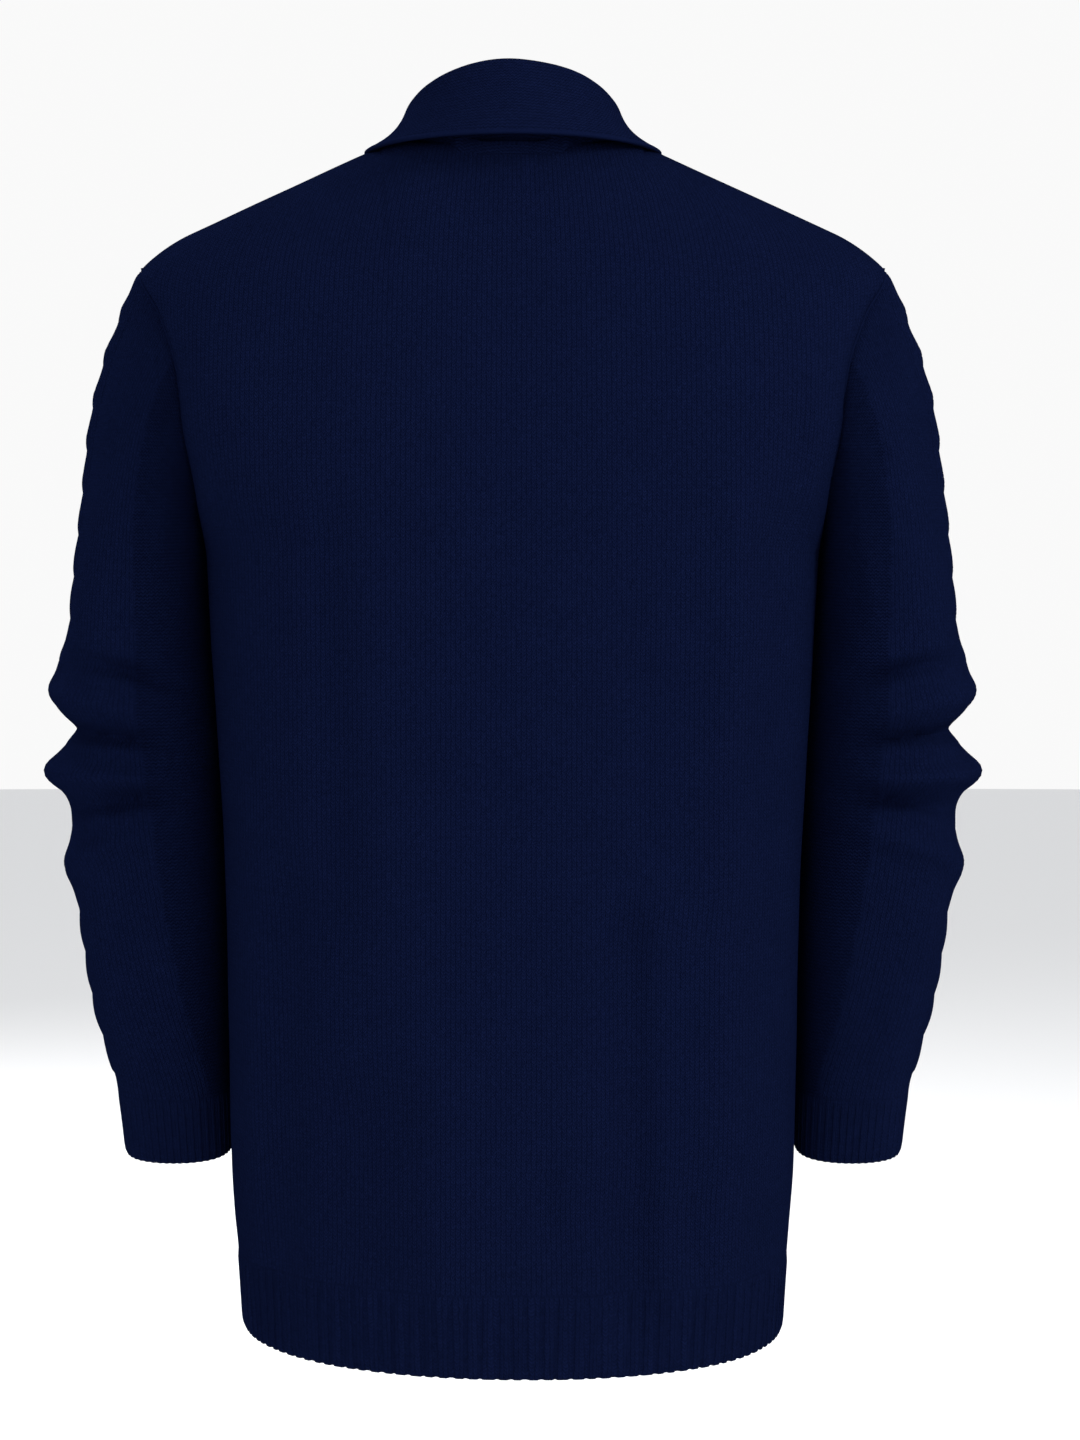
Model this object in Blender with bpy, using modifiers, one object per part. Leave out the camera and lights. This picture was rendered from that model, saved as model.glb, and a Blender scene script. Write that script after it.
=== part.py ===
"""A knitted cardigan with a shawl collar, hollow, as it hangs on its wearer's shoulders.

Metres, +Z up. The front faces -Y and the wearer's left is +X. The origin is the middle of the
neck, level with the neck ends of the shoulder seams.

Each piece that a maker knits and sews on is its own wall. Two surfaces give all of them: the
torso, read by how far across and how far up a point lies, and the sleeve, read by the angle
round the arm and the height. Panels, ribs, bands and the collar's leaf are laid out on them.
"""

import math
from bisect import bisect_right

import bmesh
import bpy
from mathutils import Vector

# Knitted walls
WALL = 0.0024
COLLAR_WALL = 0.0026
SEAM_GAP = 0.0004

# Torso heights
HEM_HEIGHT = -0.6800
HEM_SIDE_RISE = 0.0035
HEM_TILT = 0.0018
HEM_BAND = 0.0440
UNDERARM_HEIGHT = -0.2350

# Shoulders and neck
NECK_REACH = 0.0745
NECK_BACK_DEPTH = 0.0600
NECK_BACK_DROP = 0.0180
SHOULDER_REACH = 0.2135
SHOULDER_SLOPE = 0.459
TIP_REACH = 0.0300
TIP_DROP = 0.0070
SHOULDER_ROLL = 2.2

# Front opening
BAND_WIDTH = 0.0350
NECKLINE_CURVE = 0.85
BUTTON_COUNT = 5
BUTTON_RADIUS = 0.0100
BUTTON_THICK = 0.0030
BUTTON_SIDES = 14
TOP_BUTTON_DROP = 0.0250
LOW_BUTTON_RISE = 0.0300

# Sleeves
LEVEL_HEIGHT = -0.3300
ROW_TILT = 1.25
CUFF_TOP = -0.5420
CUFF_HEIGHT = 0.0355
CUFF_TILT = 0.0055
SLEEVE_SQUARENESS = 2.25

# Ribs and cables
HEM_RIB_PITCH = 0.0073
HEM_RIB_RISE = 0.0013
HEM_RIB_PLACES = (0.0, 0.28, 0.72)
CUFF_RIBS = 50
CUFF_RIB_RISE = 0.0011
CABLE_HALF_WIDTH = 0.0130
CABLE_SWING = 0.0055
CABLE_STRAND = 0.0062
CABLE_RISE = 0.0026
CABLE_REPEAT = 0.0242
CABLE_STEPS = 3
CABLE_COLUMNS = 3

NAVY = (0.0036, 0.0060, 0.0270)
BUTTON_COLOUR = (0.0050, 0.0060, 0.0120)


class Table:
    """Rows of named columns. The first column is the key; the rest are read by a smooth curve
    that passes through each row and doesn't overshoot between them."""

    def __init__(self, names, rows):
        self.values = {name: [row[i] for row in rows] for i, name in enumerate(names)}
        self.keys = self.values[names[0]]

    def at(self, name, key):
        keys, values = self.keys, self.values[name]
        if key <= keys[0]:
            return values[0]
        if key >= keys[-1]:
            return values[-1]
        i = bisect_right(keys, key) - 1
        step = keys[i + 1] - keys[i]
        share = (key - keys[i]) / step
        start, end = self.slope(name, i) * step, self.slope(name, i + 1) * step
        rise = values[i + 1] - values[i]
        return (
            values[i]
            + start * share * (1 - share) ** 2
            + rise * share**2 * (3 - 2 * share)
            - end * share**2 * (1 - share)
        )

    def slope(self, name, i):
        keys, values = self.keys, self.values[name]
        if i in (0, len(keys) - 1):
            return 0.0 if i else (values[1] - values[0]) / (keys[1] - keys[0])
        before = (values[i] - values[i - 1]) / (keys[i] - keys[i - 1])
        after = (values[i + 1] - values[i]) / (keys[i + 1] - keys[i])
        return 0.0 if before * after <= 0 else 2 * before * after / (before + after)


# The torso's horizontal section: half its width, its reach to the back and to the front, and
# how square it is (2 is an ellipse).
TORSO = Table(
    ("height", "width", "back", "front", "square"),
    (
        (-0.680, 0.1535, 0.1200, 0.1180, 2.20),
        (-0.630, 0.1568, 0.1175, 0.1200, 2.25),
        (-0.580, 0.1606, 0.1145, 0.1210, 2.35),
        (-0.430, 0.1638, 0.1095, 0.1220, 2.50),
        (-0.260, 0.1730, 0.1110, 0.1230, 2.65),
        (-0.200, 0.1768, 0.1110, 0.1200, 2.75),
        (-0.120, 0.1850, 0.1090, 0.1120, 3.00),
        (0.020, 0.1900, 0.1060, 0.1000, 3.00),
    ),
)

# The armhole seam, from the underarm (0) to the shoulder's tip (1).
ARMHOLE = Table(
    ("up", "reach", "back", "front"),
    (
        (0.00, TORSO.at("width", UNDERARM_HEIGHT), 0.000, 0.000),
        (0.20, 0.1765, 0.042, 0.048),
        (0.42, 0.1825, 0.054, 0.058),
        (0.62, 0.1868, 0.056, 0.056),
        (0.82, 0.1985, 0.051, 0.048),
        (1.00, SHOULDER_REACH, 0.045, 0.040),
    ),
)

# Long soft folds of the torso: where each starts at its low and its high end, how far it
# stands out (a hollow is negative), and half its width. Back is side 1, front is side -1.
TORSO_FOLDS = [
    dict(zip(("side", "low_x", "low", "high_x", "high", "rise", "width"), row))
    for row in (
        (1, 0.128, -0.690, 0.120, -0.380, -0.0055, 0.011),
        (1, 0.088, -0.660, 0.092, -0.500, -0.0040, 0.026),
        (1, 0.030, -0.690, 0.040, -0.480, 0.0030, 0.020),
        (1, -0.020, -0.615, -0.016, -0.545, -0.0035, 0.010),
        (1, -0.066, -0.690, -0.062, -0.400, -0.0065, 0.009),
        (1, -0.118, -0.690, -0.124, -0.180, 0.0050, 0.017),
        (1, 0.096, -0.480, 0.100, -0.180, -0.0025, 0.012),
        (1, -0.072, -0.430, -0.070, -0.250, -0.0020, 0.010),
        (-1, 0.110, -0.690, 0.100, -0.360, -0.0050, 0.014),
        (-1, 0.062, -0.690, 0.070, -0.430, 0.0035, 0.014),
        (-1, -0.078, -0.690, -0.066, -0.400, -0.0050, 0.013),
        (-1, -0.120, -0.640, -0.118, -0.300, 0.0040, 0.016),
    )
]
FOLD_END = 0.060

# The sleeve: its outer side, its inner side beside the torso, half its depth, and how far
# forward its middle lies.
SLEEVE = Table(
    ("height", "outer", "inner", "depth", "forward"),
    (
        (-0.585, 0.2250, 0.1634, 0.0375, 0.0300),
        (-0.540, 0.2310, 0.1648, 0.0390, 0.0300),
        (-0.490, 0.2440, 0.1658, 0.0440, 0.0285),
        (-0.430, 0.2525, 0.1670, 0.0490, 0.0260),
        (-0.375, 0.2568, 0.1700, 0.0530, 0.0225),
        (-0.330, 0.2588, 0.1724, 0.0560, 0.0185),
        (-0.262, 0.2535, 0.1766, 0.0620, 0.0110),
        (-0.190, 0.2453, 0.1790, 0.0700, 0.0040),
        (-0.155, 0.2410, 0.1800, 0.0710, 0.0020),
        (-0.120, 0.2324, 0.1800, 0.0690, 0.0010),
        (-0.096, 0.2232, 0.1800, 0.0660, 0.0000),
        (-0.082, 0.2188, 0.1800, 0.0630, 0.0000),
        (-0.0742, 0.2160, 0.1800, 0.0610, 0.0000),
        (-0.0700, 0.2135, 0.1800, 0.0600, 0.0000),
    ),
)

# The folds round the elbow: the height of each on the outer side, at the back, on the inner
# side and in front, how far it stands out there, and half its width.
ELBOW_FOLDS = [
    dict(zip(("outer", "back", "inner", "front", "rise", "behind", "width"), row))
    for row in (
        (-0.2950, -0.3020, -0.3150, -0.3000, 0.0036, -0.0052, 0.0075),
        (-0.3120, -0.3250, -0.3300, -0.3220, 0.0082, 0.0030, 0.0110),
        (-0.3335, -0.3395, -0.3400, -0.3360, -0.0085, -0.0062, 0.0075),
        (-0.3590, -0.3640, -0.3620, -0.3640, 0.0122, 0.0040, 0.0090),
        (-0.3880, -0.3745, -0.3730, -0.3800, -0.0018, -0.0058, 0.0080),
        (-0.4145, -0.3960, -0.3900, -0.4050, 0.0062, 0.0020, 0.0110),
    )
]
FRONT_FOLD_SHARE = 0.8
NORMAL_STEP = 0.0008


def soft_bump(distance, width):
    return math.exp(-((distance / width) ** 2))


def eased(value):
    value = min(max(value, 0.0), 1.0)
    return value * value * (3 - 2 * value)


# ---------------------------------------------------------------- torso


def tip_height(share):
    """The shoulder line's height, by its share of the way from the middle to the tip."""
    reach = share * SHOULDER_REACH
    past = max(reach - (SHOULDER_REACH - TIP_REACH), 0.0) / TIP_REACH
    return SHOULDER_SLOPE * (NECK_REACH - reach) - TIP_DROP * past**2


def top_line(side, share):
    """Depth and height of the panel's top: the shoulder seam and, at the back, the neck."""
    neck_share = NECK_REACH / SHOULDER_REACH
    if side < 0 or share >= neck_share:
        return 0.0, tip_height(share)
    round_neck = math.sqrt(1 - (share / neck_share) ** 2)
    return NECK_BACK_DEPTH * round_neck, -NECK_BACK_DROP * round_neck**2


def torso_fold(side, x, z):
    total = 0.0
    for fold in TORSO_FOLDS:
        if fold["side"] != side:
            continue
        along = (z - fold["low"]) / (fold["high"] - fold["low"])
        middle = fold["low_x"] + (fold["high_x"] - fold["low_x"]) * min(max(along, 0.0), 1.0)
        end = eased((fold["high"] - z) / FOLD_END) * eased((z - fold["low"]) / FOLD_END)
        total += fold["rise"] * end * soft_bump(x - middle, fold["width"])
    return total


def torso(side, across, up):
    """A point of the torso's outer face. across runs from -1 to 1, seam to seam; up runs from
    0 at the hem over 1 at the underarm to 2 at the shoulder seam."""
    share = abs(math.sin(across * math.pi / 2))
    name = "back" if side > 0 else "front"
    if up <= 1:
        low = HEM_HEIGHT + HEM_SIDE_RISE * share**2 + math.copysign(HEM_TILT * share, across)
        z = low + (UNDERARM_HEIGHT - low) * up
        reach, seam_depth, roll, top_depth = TORSO.at("width", z), 0.0, 1.0, 0.0
    else:
        rise = min(up - 1, 1.0)
        top_depth, top = top_line(side, share)
        z = UNDERARM_HEIGHT + (top - UNDERARM_HEIGHT) * rise
        reach, seam_depth = ARMHOLE.at("reach", rise), ARMHOLE.at(name, rise)
        roll = math.sqrt(1 - rise**SHOULDER_ROLL)
    square = TORSO.at("square", z)
    crown = max(1 - share**square, 0.0) ** (1 / square)
    x = math.copysign(share * reach, across)
    depth = seam_depth + (TORSO.at(name, z) - seam_depth + torso_fold(side, x, z)) * crown
    depth = depth * roll + top_depth * (1 - roll) ** 2
    return Vector((x, side * (depth + SEAM_GAP / 2), z))


def across_at(x, up):
    """How far across a point at x lies, at this height."""
    reach = ARMHOLE.at("reach", up - 1)
    if up <= 1:
        low = HEM_HEIGHT + (UNDERARM_HEIGHT - HEM_HEIGHT) * up
        reach = TORSO.at("width", low)
    return math.asin(x / reach) * 2 / math.pi


def facing(surface, u, v, high_u, high_v, outward):
    """The unit normal of a surface at u, v, by small steps that stay on it."""
    u0, u1 = max(u - NORMAL_STEP, -high_u), min(u + NORMAL_STEP, high_u)
    v0, v1 = max(v - NORMAL_STEP, 0.0), min(v + NORMAL_STEP, high_v)
    along_u = surface(u1, v) - surface(u0, v)
    along_v = surface(u, v1) - surface(u, v0)
    normal = along_u.cross(along_v).normalized()
    return normal if normal.dot(outward) > 0 else -normal


def torso_normal(side, across, up):
    middle_height = UNDERARM_HEIGHT if up > 1 else torso(side, across, up).z
    away = torso(side, across, up) - Vector((0.0, 0.0, middle_height))
    return facing(lambda u, v: torso(side, u, v), across, up, 1.0, 2.0, away)


# ---------------------------------------------------------------- sleeve


def round_the_arm(outer, back, inner, front, angle):
    """A value given on four sides of the arm, read smoothly at an angle between them."""
    even = (outer + inner - back - front) / 4
    mean = (outer + inner + back + front) / 4
    return (
        mean
        + (outer - inner) / 2 * math.cos(angle)
        + (back - front) / 2 * math.sin(angle)
        + even * math.cos(2 * angle)
    )


def elbow_fold(angle, z):
    total = 0.0
    for fold in ELBOW_FOLDS:
        height = round_the_arm(fold["outer"], fold["back"], fold["inner"], fold["front"], angle)
        behind = fold["behind"]
        rise = round_the_arm(fold["rise"], behind, 0.0, behind * FRONT_FOLD_SHARE, angle)
        if math.cos(angle) < 0:
            rise *= 1 + math.cos(angle)
        total += rise * soft_bump(z - height, fold["width"])
    return total


def sleeve(angle, down):
    """A point of the left sleeve's outer face. angle is 0 on the outer side, a quarter turn at
    the back and half a turn beside the torso; down runs from 0 at the armhole to 1 at the cuff's
    lower edge."""
    end = CUFF_TOP - CUFF_HEIGHT
    tip = torso(1, 1.0, 2.0).z
    outer_height = tip + (end - tip) * down
    turn = abs(math.remainder(angle, 2 * math.pi))
    side = 1 if math.sin(angle) >= 0 else -1
    seam = torso(side, 1.0, 2.0 - turn / math.pi)
    level = min((tip - outer_height) / (tip - LEVEL_HEIGHT), 1.0)
    left = 1 - level
    z = outer_height + (seam.z - tip) * left**ROW_TILT - CUFF_TILT * math.sin(angle) * down**2

    def ring(height):
        outer, inner = SLEEVE.at("outer", height), SLEEVE.at("inner", height)
        depth = SLEEVE.at("depth", height)
        power = SLEEVE_SQUARENESS
        cos, sin = math.cos(angle), math.sin(angle)
        scale = (abs(cos) ** power + abs(sin) ** power) ** (-1 / power)
        return Vector(
            (
                (outer + inner) / 2 + (outer - inner) / 2 * cos * scale,
                depth * sin * scale - SLEEVE.at("forward", height),
                height,
            )
        )

    point = ring(z)
    start = ring(seam.z)
    pull = left**2
    point.x += (seam.x + SEAM_GAP - start.x) * pull
    point.y += (seam.y - start.y) * pull
    fold = elbow_fold(angle, z)
    point.x += fold * math.cos(angle)
    point.y += fold * math.sin(angle)
    return point


def sleeve_normal(angle, down):
    point = sleeve(angle, down)
    middle = (sleeve(0.0, down) + sleeve(math.pi, down)) / 2
    return facing(sleeve, angle, down, 4 * math.pi, 1.0, point - middle)


def cable_rise(across, z):
    """The height of a two-strand rope cable above the wall, across its panel."""
    turn = math.pi * z / CABLE_REPEAT
    swing = CABLE_SWING * math.sin(turn)
    over = 0.5 + 0.5 * math.cos(turn)
    strands = (
        (swing, 0.70 + 0.30 * over),
        (-swing, 1.00 - 0.30 * over),
    )
    return max(CABLE_RISE * lift * soft_bump(across - at, CABLE_STRAND) for at, lift in strands)


# ---------------------------------------------------------------- mesh building


def material(name, colour, roughness):
    made = bpy.data.materials.new(name)
    made.use_nodes = True
    shader = made.node_tree.nodes["Principled BSDF"]
    shader.inputs["Base Color"].default_value = (*colour, 1.0)
    shader.inputs["Roughness"].default_value = roughness
    shader.inputs["Metallic"].default_value = 0.0
    made.diffuse_color = (*colour, 1.0)
    return made


def add_object(name, mesh, finish, collection, crease=40):
    mesh.materials.append(finish)
    mesh.shade_smooth()
    mesh.set_sharp_from_angle(angle=math.radians(crease))
    made = bpy.data.objects.new(name, mesh)
    collection.objects.link(made)
    return made


def side_of(column, row, steps, fine):
    """The vertex keys up one side of a cell: the ends, and those between on a fine column."""
    first, last = row * steps, (row + 1) * steps
    inner = range(first + 1, last) if column in fine else ()
    return [(first, column), *((i, column) for i in inner), (last, column)]


def skin(shape, points, rows, columns, closed, steps=1, fine=()):
    """Faces over a grid of points keyed by row and column. Columns in fine have a point at each
    of the steps of a row. Returns the vertices by key."""
    verts = {key: shape.verts.new(point) for key, point in points.items()}
    wrap = columns if closed else columns + 1
    for row in range(rows):
        for column in range(columns):
            near = side_of(column, row, steps, fine)
            far = side_of((column + 1) % wrap, row, steps, fine)
            if len(near) > 2 and len(far) > 2:
                for i in range(steps):
                    loop = (near[i], far[i], far[i + 1], near[i + 1])
                    shape.faces.new([verts[key] for key in loop])
            else:
                shape.faces.new([verts[key] for key in [*near[::-1], *far]])
    return verts


def join_edges(shape, outer, inner, share):
    """Faces between an outer edge loop and an inner one that has one point for each share."""
    for i in range(len(inner) - 1):
        shape.faces.new([*outer[i * share : (i + 1) * share + 1], inner[i + 1], inner[i]])


def wall_mesh(name, outer, inner, closed, share=1, steps=1, fine=()):
    """A closed wall from an outer and an inner grid, each a dict of points by row and column.
    The outer grid has share columns for each inner one."""
    rows = max(row for row, _ in outer) // steps
    outer_columns = max(column for _, column in outer) + (1 if closed else 0)
    inner_columns = outer_columns // share
    shape = bmesh.new()
    out = skin(shape, outer, rows, outer_columns, closed, steps, fine)
    within = skin(shape, inner, rows, inner_columns, closed)
    for row, inner_row in ((0, 0), (rows * steps, rows)):
        wrap = 1 if closed else 0
        edge = [out[row, c % (outer_columns + 1 - wrap)] for c in range(outer_columns + 1)]
        lining = [within[inner_row, c % (inner_columns + 1 - wrap)] for c in range(inner_columns + 1)]
        join_edges(shape, edge, lining, share)
    if not closed:
        for column, inner_column in ((0, 0), (outer_columns, inner_columns)):
            edge = [out[row * steps, column] for row in range(rows + 1)]
            lining = [within[row, inner_column] for row in range(rows + 1)]
            join_edges(shape, edge, lining, 1)
    bmesh.ops.recalc_face_normals(shape, faces=shape.faces)
    mesh = bpy.data.meshes.new(name)
    shape.to_mesh(mesh)
    shape.free()
    return mesh


def panel_mesh(name, side, rows, acrosses, level=0.0, thick=WALL):
    """A panel of the torso. rows are heights up; acrosses gives the columns of a height. level
    is how far its outer face stands above the torso's."""
    outer, inner = {}, {}
    for i, up in enumerate(rows):
        for j, across in enumerate(acrosses(up)):
            point, normal = torso(side, across, up), torso_normal(side, across, up)
            outer[i, j] = point + normal * level
            inner[i, j] = point + normal * (level - thick)
    return wall_mesh(name, outer, inner, closed=False)


def evenly(start, end, parts):
    return [start + (end - start) * i / parts for i in range(parts + 1)]


# ---------------------------------------------------------------- pieces

HEM_SEAM = HEM_BAND / (UNDERARM_HEIGHT - HEM_HEIGHT)
BAND_EDGE = BAND_WIDTH / 2 + SEAM_GAP
SEAM_UP = SEAM_GAP / (UNDERARM_HEIGHT - HEM_HEIGHT)
NECK_RISES = (0.14, 0.3, 0.46, 0.61, 0.74, 0.84, 0.91, 0.96, 0.99)
NECK_TURNS = (18, 36, 54, 72, 90)
LOW_ROWS = 12
PANEL_ROWS = [*evenly(HEM_SEAM, 1.0, LOW_ROWS), *(1 + rise for rise in NECK_RISES), 2.0]
SHOULDER_COLUMNS, FRONT_COLUMNS, SLEEVE_COLUMNS = 8, 11, 15
MEASURING_STEPS = 40


def neck_across(turn):
    """How far across the point of the back's neckline at an angle round the neck lies."""
    return math.asin(NECK_REACH * math.sin(turn) / SHOULDER_REACH) * 2 / math.pi


def back_columns(_up):
    half = [0.0, *(neck_across(math.radians(turn)) for turn in NECK_TURNS)]
    half += evenly(half[-1], 1.0, SHOULDER_COLUMNS)[1:]
    return [-across for across in half[:0:-1]] + half


def neckline_x(up):
    """The front panel's edge: beside the button band, then the V of the neck."""
    rise = max(up - 1, 0.0)
    return BAND_EDGE + (NECK_REACH - BAND_EDGE) * rise**NECKLINE_CURVE


def front_columns(hand):
    def columns(up):
        edge = across_at(neckline_x(up), up)
        return [hand * across for across in evenly(edge, 1.0, FRONT_COLUMNS)]

    return columns


def hem_rib_mesh(name, side, start, end):
    """A stretch of the ribbed hem: flat ribs with a narrow furrow between them, raised in the
    outer points over a plain inside."""
    rows = (0.0, HEM_SEAM - SEAM_UP)
    edge = [torso(side, across, 0.0) for across in evenly(start, end, MEASURING_STEPS)]
    ribs = round(sum((b - a).length for a, b in zip(edge, edge[1:])) / HEM_RIB_PITCH)
    steps = len(HEM_RIB_PLACES)
    outer, inner = {}, {}
    for i, up in enumerate(rows):
        for j in range(steps * ribs + 1):
            rib, step = divmod(j, steps)
            across = start + (end - start) * (rib + HEM_RIB_PLACES[step]) / ribs
            point, normal = torso(side, across, up), torso_normal(side, across, up)
            outer[i, j] = point + normal * (HEM_RIB_RISE if step else 0.0)
            if step == 0:
                inner[i, rib] = point - normal * WALL
    return wall_mesh(name, outer, inner, closed=False, share=steps)


def sleeve_angles(down):
    """The columns round the sleeve: close ones over the cable, and the rest evenly spaced."""
    depth = SLEEVE.at("depth", sleeve(0.0, down).z)
    steps = range(-CABLE_COLUMNS, CABLE_COLUMNS + 1)
    over_cable = [math.asin(CABLE_HALF_WIDTH * i / CABLE_COLUMNS / depth) for i in steps]
    rest = evenly(over_cable[-1], over_cable[0] + 2 * math.pi, SLEEVE_COLUMNS)
    return over_cable + rest[1:-1]


SLEEVE_HEIGHTS = (
    -0.0715, -0.084, -0.100, -0.120, -0.145, -0.170, -0.200, -0.230, -0.258, -0.280, -0.293,
    -0.303, -0.313, -0.323, -0.334, -0.345, -0.355, -0.365, -0.377, -0.389, -0.402, -0.415,
    -0.428, -0.450, -0.475, -0.500, -0.520, CUFF_TOP,
)


def sleeve_mesh(name, hand):
    """A sleeve with its cable, raised in the outer points over a plain inside."""
    tip = torso(1, 1.0, 2.0).z
    end = CUFF_TOP - CUFF_HEIGHT
    downs = [(tip - height) / (tip - end) for height in SLEEVE_HEIGHTS]
    fine = range(2 * CABLE_COLUMNS + 1)
    outer, inner = {}, {}
    for i, down in enumerate(downs):
        for j, angle in enumerate(sleeve_angles(down)):
            inner[i, j] = sleeve(angle, down) - sleeve_normal(angle, down) * WALL
    for i in range((len(downs) - 1) * CABLE_STEPS + 1):
        row, part = divmod(i, CABLE_STEPS)
        down = downs[row]
        if part:
            down += (downs[row + 1] - down) * part / CABLE_STEPS
        for j, angle in enumerate(sleeve_angles(down)):
            if part and j not in fine:
                continue
            point = sleeve(angle, down)
            if 0 < j < 2 * CABLE_COLUMNS:
                across = CABLE_HALF_WIDTH * (j - CABLE_COLUMNS) / CABLE_COLUMNS
                point += sleeve_normal(angle, down) * cable_rise(across, point.z)
            outer[i, j] = point
    for grid in (outer, inner):
        for key, point in grid.items():
            grid[key] = Vector((hand * point.x, point.y, point.z))
    return wall_mesh(name, outer, inner, closed=True, steps=CABLE_STEPS, fine=fine)


def cuff_mesh(name, hand):
    """A ribbed cuff, its ribs raised in the outer points over a plain inside."""
    tip = torso(1, 1.0, 2.0).z
    end = CUFF_TOP - CUFF_HEIGHT
    heights = (CUFF_TOP - SEAM_GAP, end)
    outer, inner = {}, {}
    for i, height in enumerate(heights):
        down = (tip - height) / (tip - end)
        for j in range(2 * CUFF_RIBS):
            angle = math.pi * j / CUFF_RIBS
            point, normal = sleeve(angle, down), sleeve_normal(angle, down)
            point.x, normal.x = hand * point.x, hand * normal.x
            outer[i, j] = point + normal * (CUFF_RIB_RISE if j % 2 else 0.0)
            if j % 2 == 0:
                inner[i, j // 2] = point - normal * WALL
    return wall_mesh(name, outer, inner, closed=True, share=2)


# ---------------------------------------------------------------- collar

# The collar's fold line and leaf edge, over the back from the middle to the side of the neck.
FOLD_REACH, FOLD_DEPTH = 0.0595, 0.0540
FOLD_TOP, FOLD_DROP, FOLD_DROP_POWER = 0.0373, 0.0275, 1.8
LEAF_REACH, LEAF_DEPTH = 0.0850, 0.0850
LEAF_HEIGHT, LEAF_SIDE_HEIGHT = -0.0085, -0.0014
FOLD_RADIUS = 0.0018
LAPEL_FOOT = 0.006
EDGE_STEP = 0.005

# The same two lines down the front, by the height up the V of the neck.
LAPEL = Table(
    ("up", "fold_x", "fold_level", "leaf_x", "leaf_level"),
    (
        (0.00, 0.0022, 0.0050, 0.0300, 0.0022),
        (0.10, 0.0060, 0.0058, 0.0480, 0.0024),
        (0.25, 0.0140, 0.0066, 0.0700, 0.0026),
        (0.45, 0.0260, 0.0072, 0.0920, 0.0028),
        (0.65, 0.0385, 0.0076, 0.1040, 0.0030),
        (0.82, 0.0500, 0.0080, 0.1040, 0.0034),
        (0.93, 0.0570, 0.0082, 0.0960, 0.0046),
        (1.00, FOLD_REACH, 0.0086, LEAF_REACH, 0.0046),
    ),
)
LEAF_STEPS, TURN_STEPS, STAND_STEPS = 4, 4, 3
LEAF_BULGE = 0.0015
LEAF_HOLLOW = 0.0040


def neck_seam(side, place, at, toward):
    """Where the stand starts: past the panel's edge, at the middle of its wall. place gives how
    far across and up the edge lies at a step along it."""
    point, before = torso(side, *place(at)), torso(side, *place(at - EDGE_STEP))
    normal = torso_normal(side, *place(at))
    away = (point - before).cross(normal).normalized()
    if away.dot(toward) < 0:
        away = -away
    return point - normal * (WALL / 2) + away * (COLLAR_WALL / 2 + SEAM_GAP)


def back_station(turn):
    """Seam, fold and leaf edge at an angle round the neck, 0 at the middle of the back."""
    sin, cos = math.sin(turn), math.cos(turn)
    toward = Vector((-sin, -cos, 0.5))
    seam = neck_seam(1, lambda at: (neck_across(at), 2.0), turn, toward)
    quarter = 2 * turn / math.pi
    fold_height = FOLD_TOP - FOLD_DROP * quarter**FOLD_DROP_POWER
    fold = Vector((FOLD_REACH * sin, FOLD_DEPTH * cos, fold_height))
    leaf_height = LEAF_HEIGHT + (LEAF_SIDE_HEIGHT - LEAF_HEIGHT) * quarter**3
    leaf = Vector((LEAF_REACH * sin, LEAF_DEPTH * cos, leaf_height))
    crown = LEAF_BULGE * cos - LEAF_HOLLOW * math.sin(2 * turn)
    return seam, fold, leaf, crown


def front_station(rise):
    """Seam, fold and leaf edge at a height up the front's V, 1 at the side of the neck."""
    up = 1 + rise

    def lifted(x, level):
        across = across_at(x, up)
        return torso(-1, across, up) + torso_normal(-1, across, up) * level

    toward = Vector((-1.0, 0.0, 0.0))
    seam = neck_seam(-1, lambda at: (across_at(neckline_x(1 + at), 1 + at), 1 + at), rise, toward)
    fold = lifted(LAPEL.at("fold_x", rise), LAPEL.at("fold_level", rise))
    leaf = lifted(LAPEL.at("leaf_x", rise), LAPEL.at("leaf_level", rise))
    return seam, fold, leaf, LEAF_BULGE


def collar_section(seam, fold, leaf, crown):
    """The folded wall's closed outline at one station, as points in space."""
    to_leaf, to_seam = (leaf - fold).normalized(), (seam - fold).normalized()
    down = (to_leaf + to_seam).normalized()
    out = (to_leaf - to_seam).normalized()
    turn = [
        (FOLD_RADIUS - FOLD_RADIUS * math.cos(angle), FOLD_RADIUS * math.sin(angle))
        for angle in evenly(math.pi / 2, -math.pi / 2, TURN_STEPS)
    ]
    end = ((leaf - fold).dot(down), (leaf - fold).dot(out))
    foot = ((seam - fold).dot(down), (seam - fold).dot(out))
    path = []
    for i in range(LEAF_STEPS):
        share = i / LEAF_STEPS
        bulge = crown * 4 * share * (1 - share)
        path.append(
            (
                end[0] + (turn[0][0] - end[0]) * share,
                end[1] + (turn[0][1] - end[1]) * share + bulge,
            )
        )
    path += turn
    for i in range(1, STAND_STEPS + 1):
        share = i / STAND_STEPS
        path.append(tuple(turn[-1][k] + (foot[k] - turn[-1][k]) * share for k in (0, 1)))
    outer, inner = [], []
    for i, (a, b) in enumerate(path):
        before, after = path[max(i - 1, 0)], path[min(i + 1, len(path) - 1)]
        along = Vector((after[0] - before[0], after[1] - before[1])).normalized()
        for points, offset in ((outer, COLLAR_WALL / 2), (inner, -COLLAR_WALL / 2)):
            shifted = (a - along.y * offset, b + along.x * offset)
            points.append(fold + down * shifted[0] + out * shifted[1])
    return outer + inner[::-1]


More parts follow.
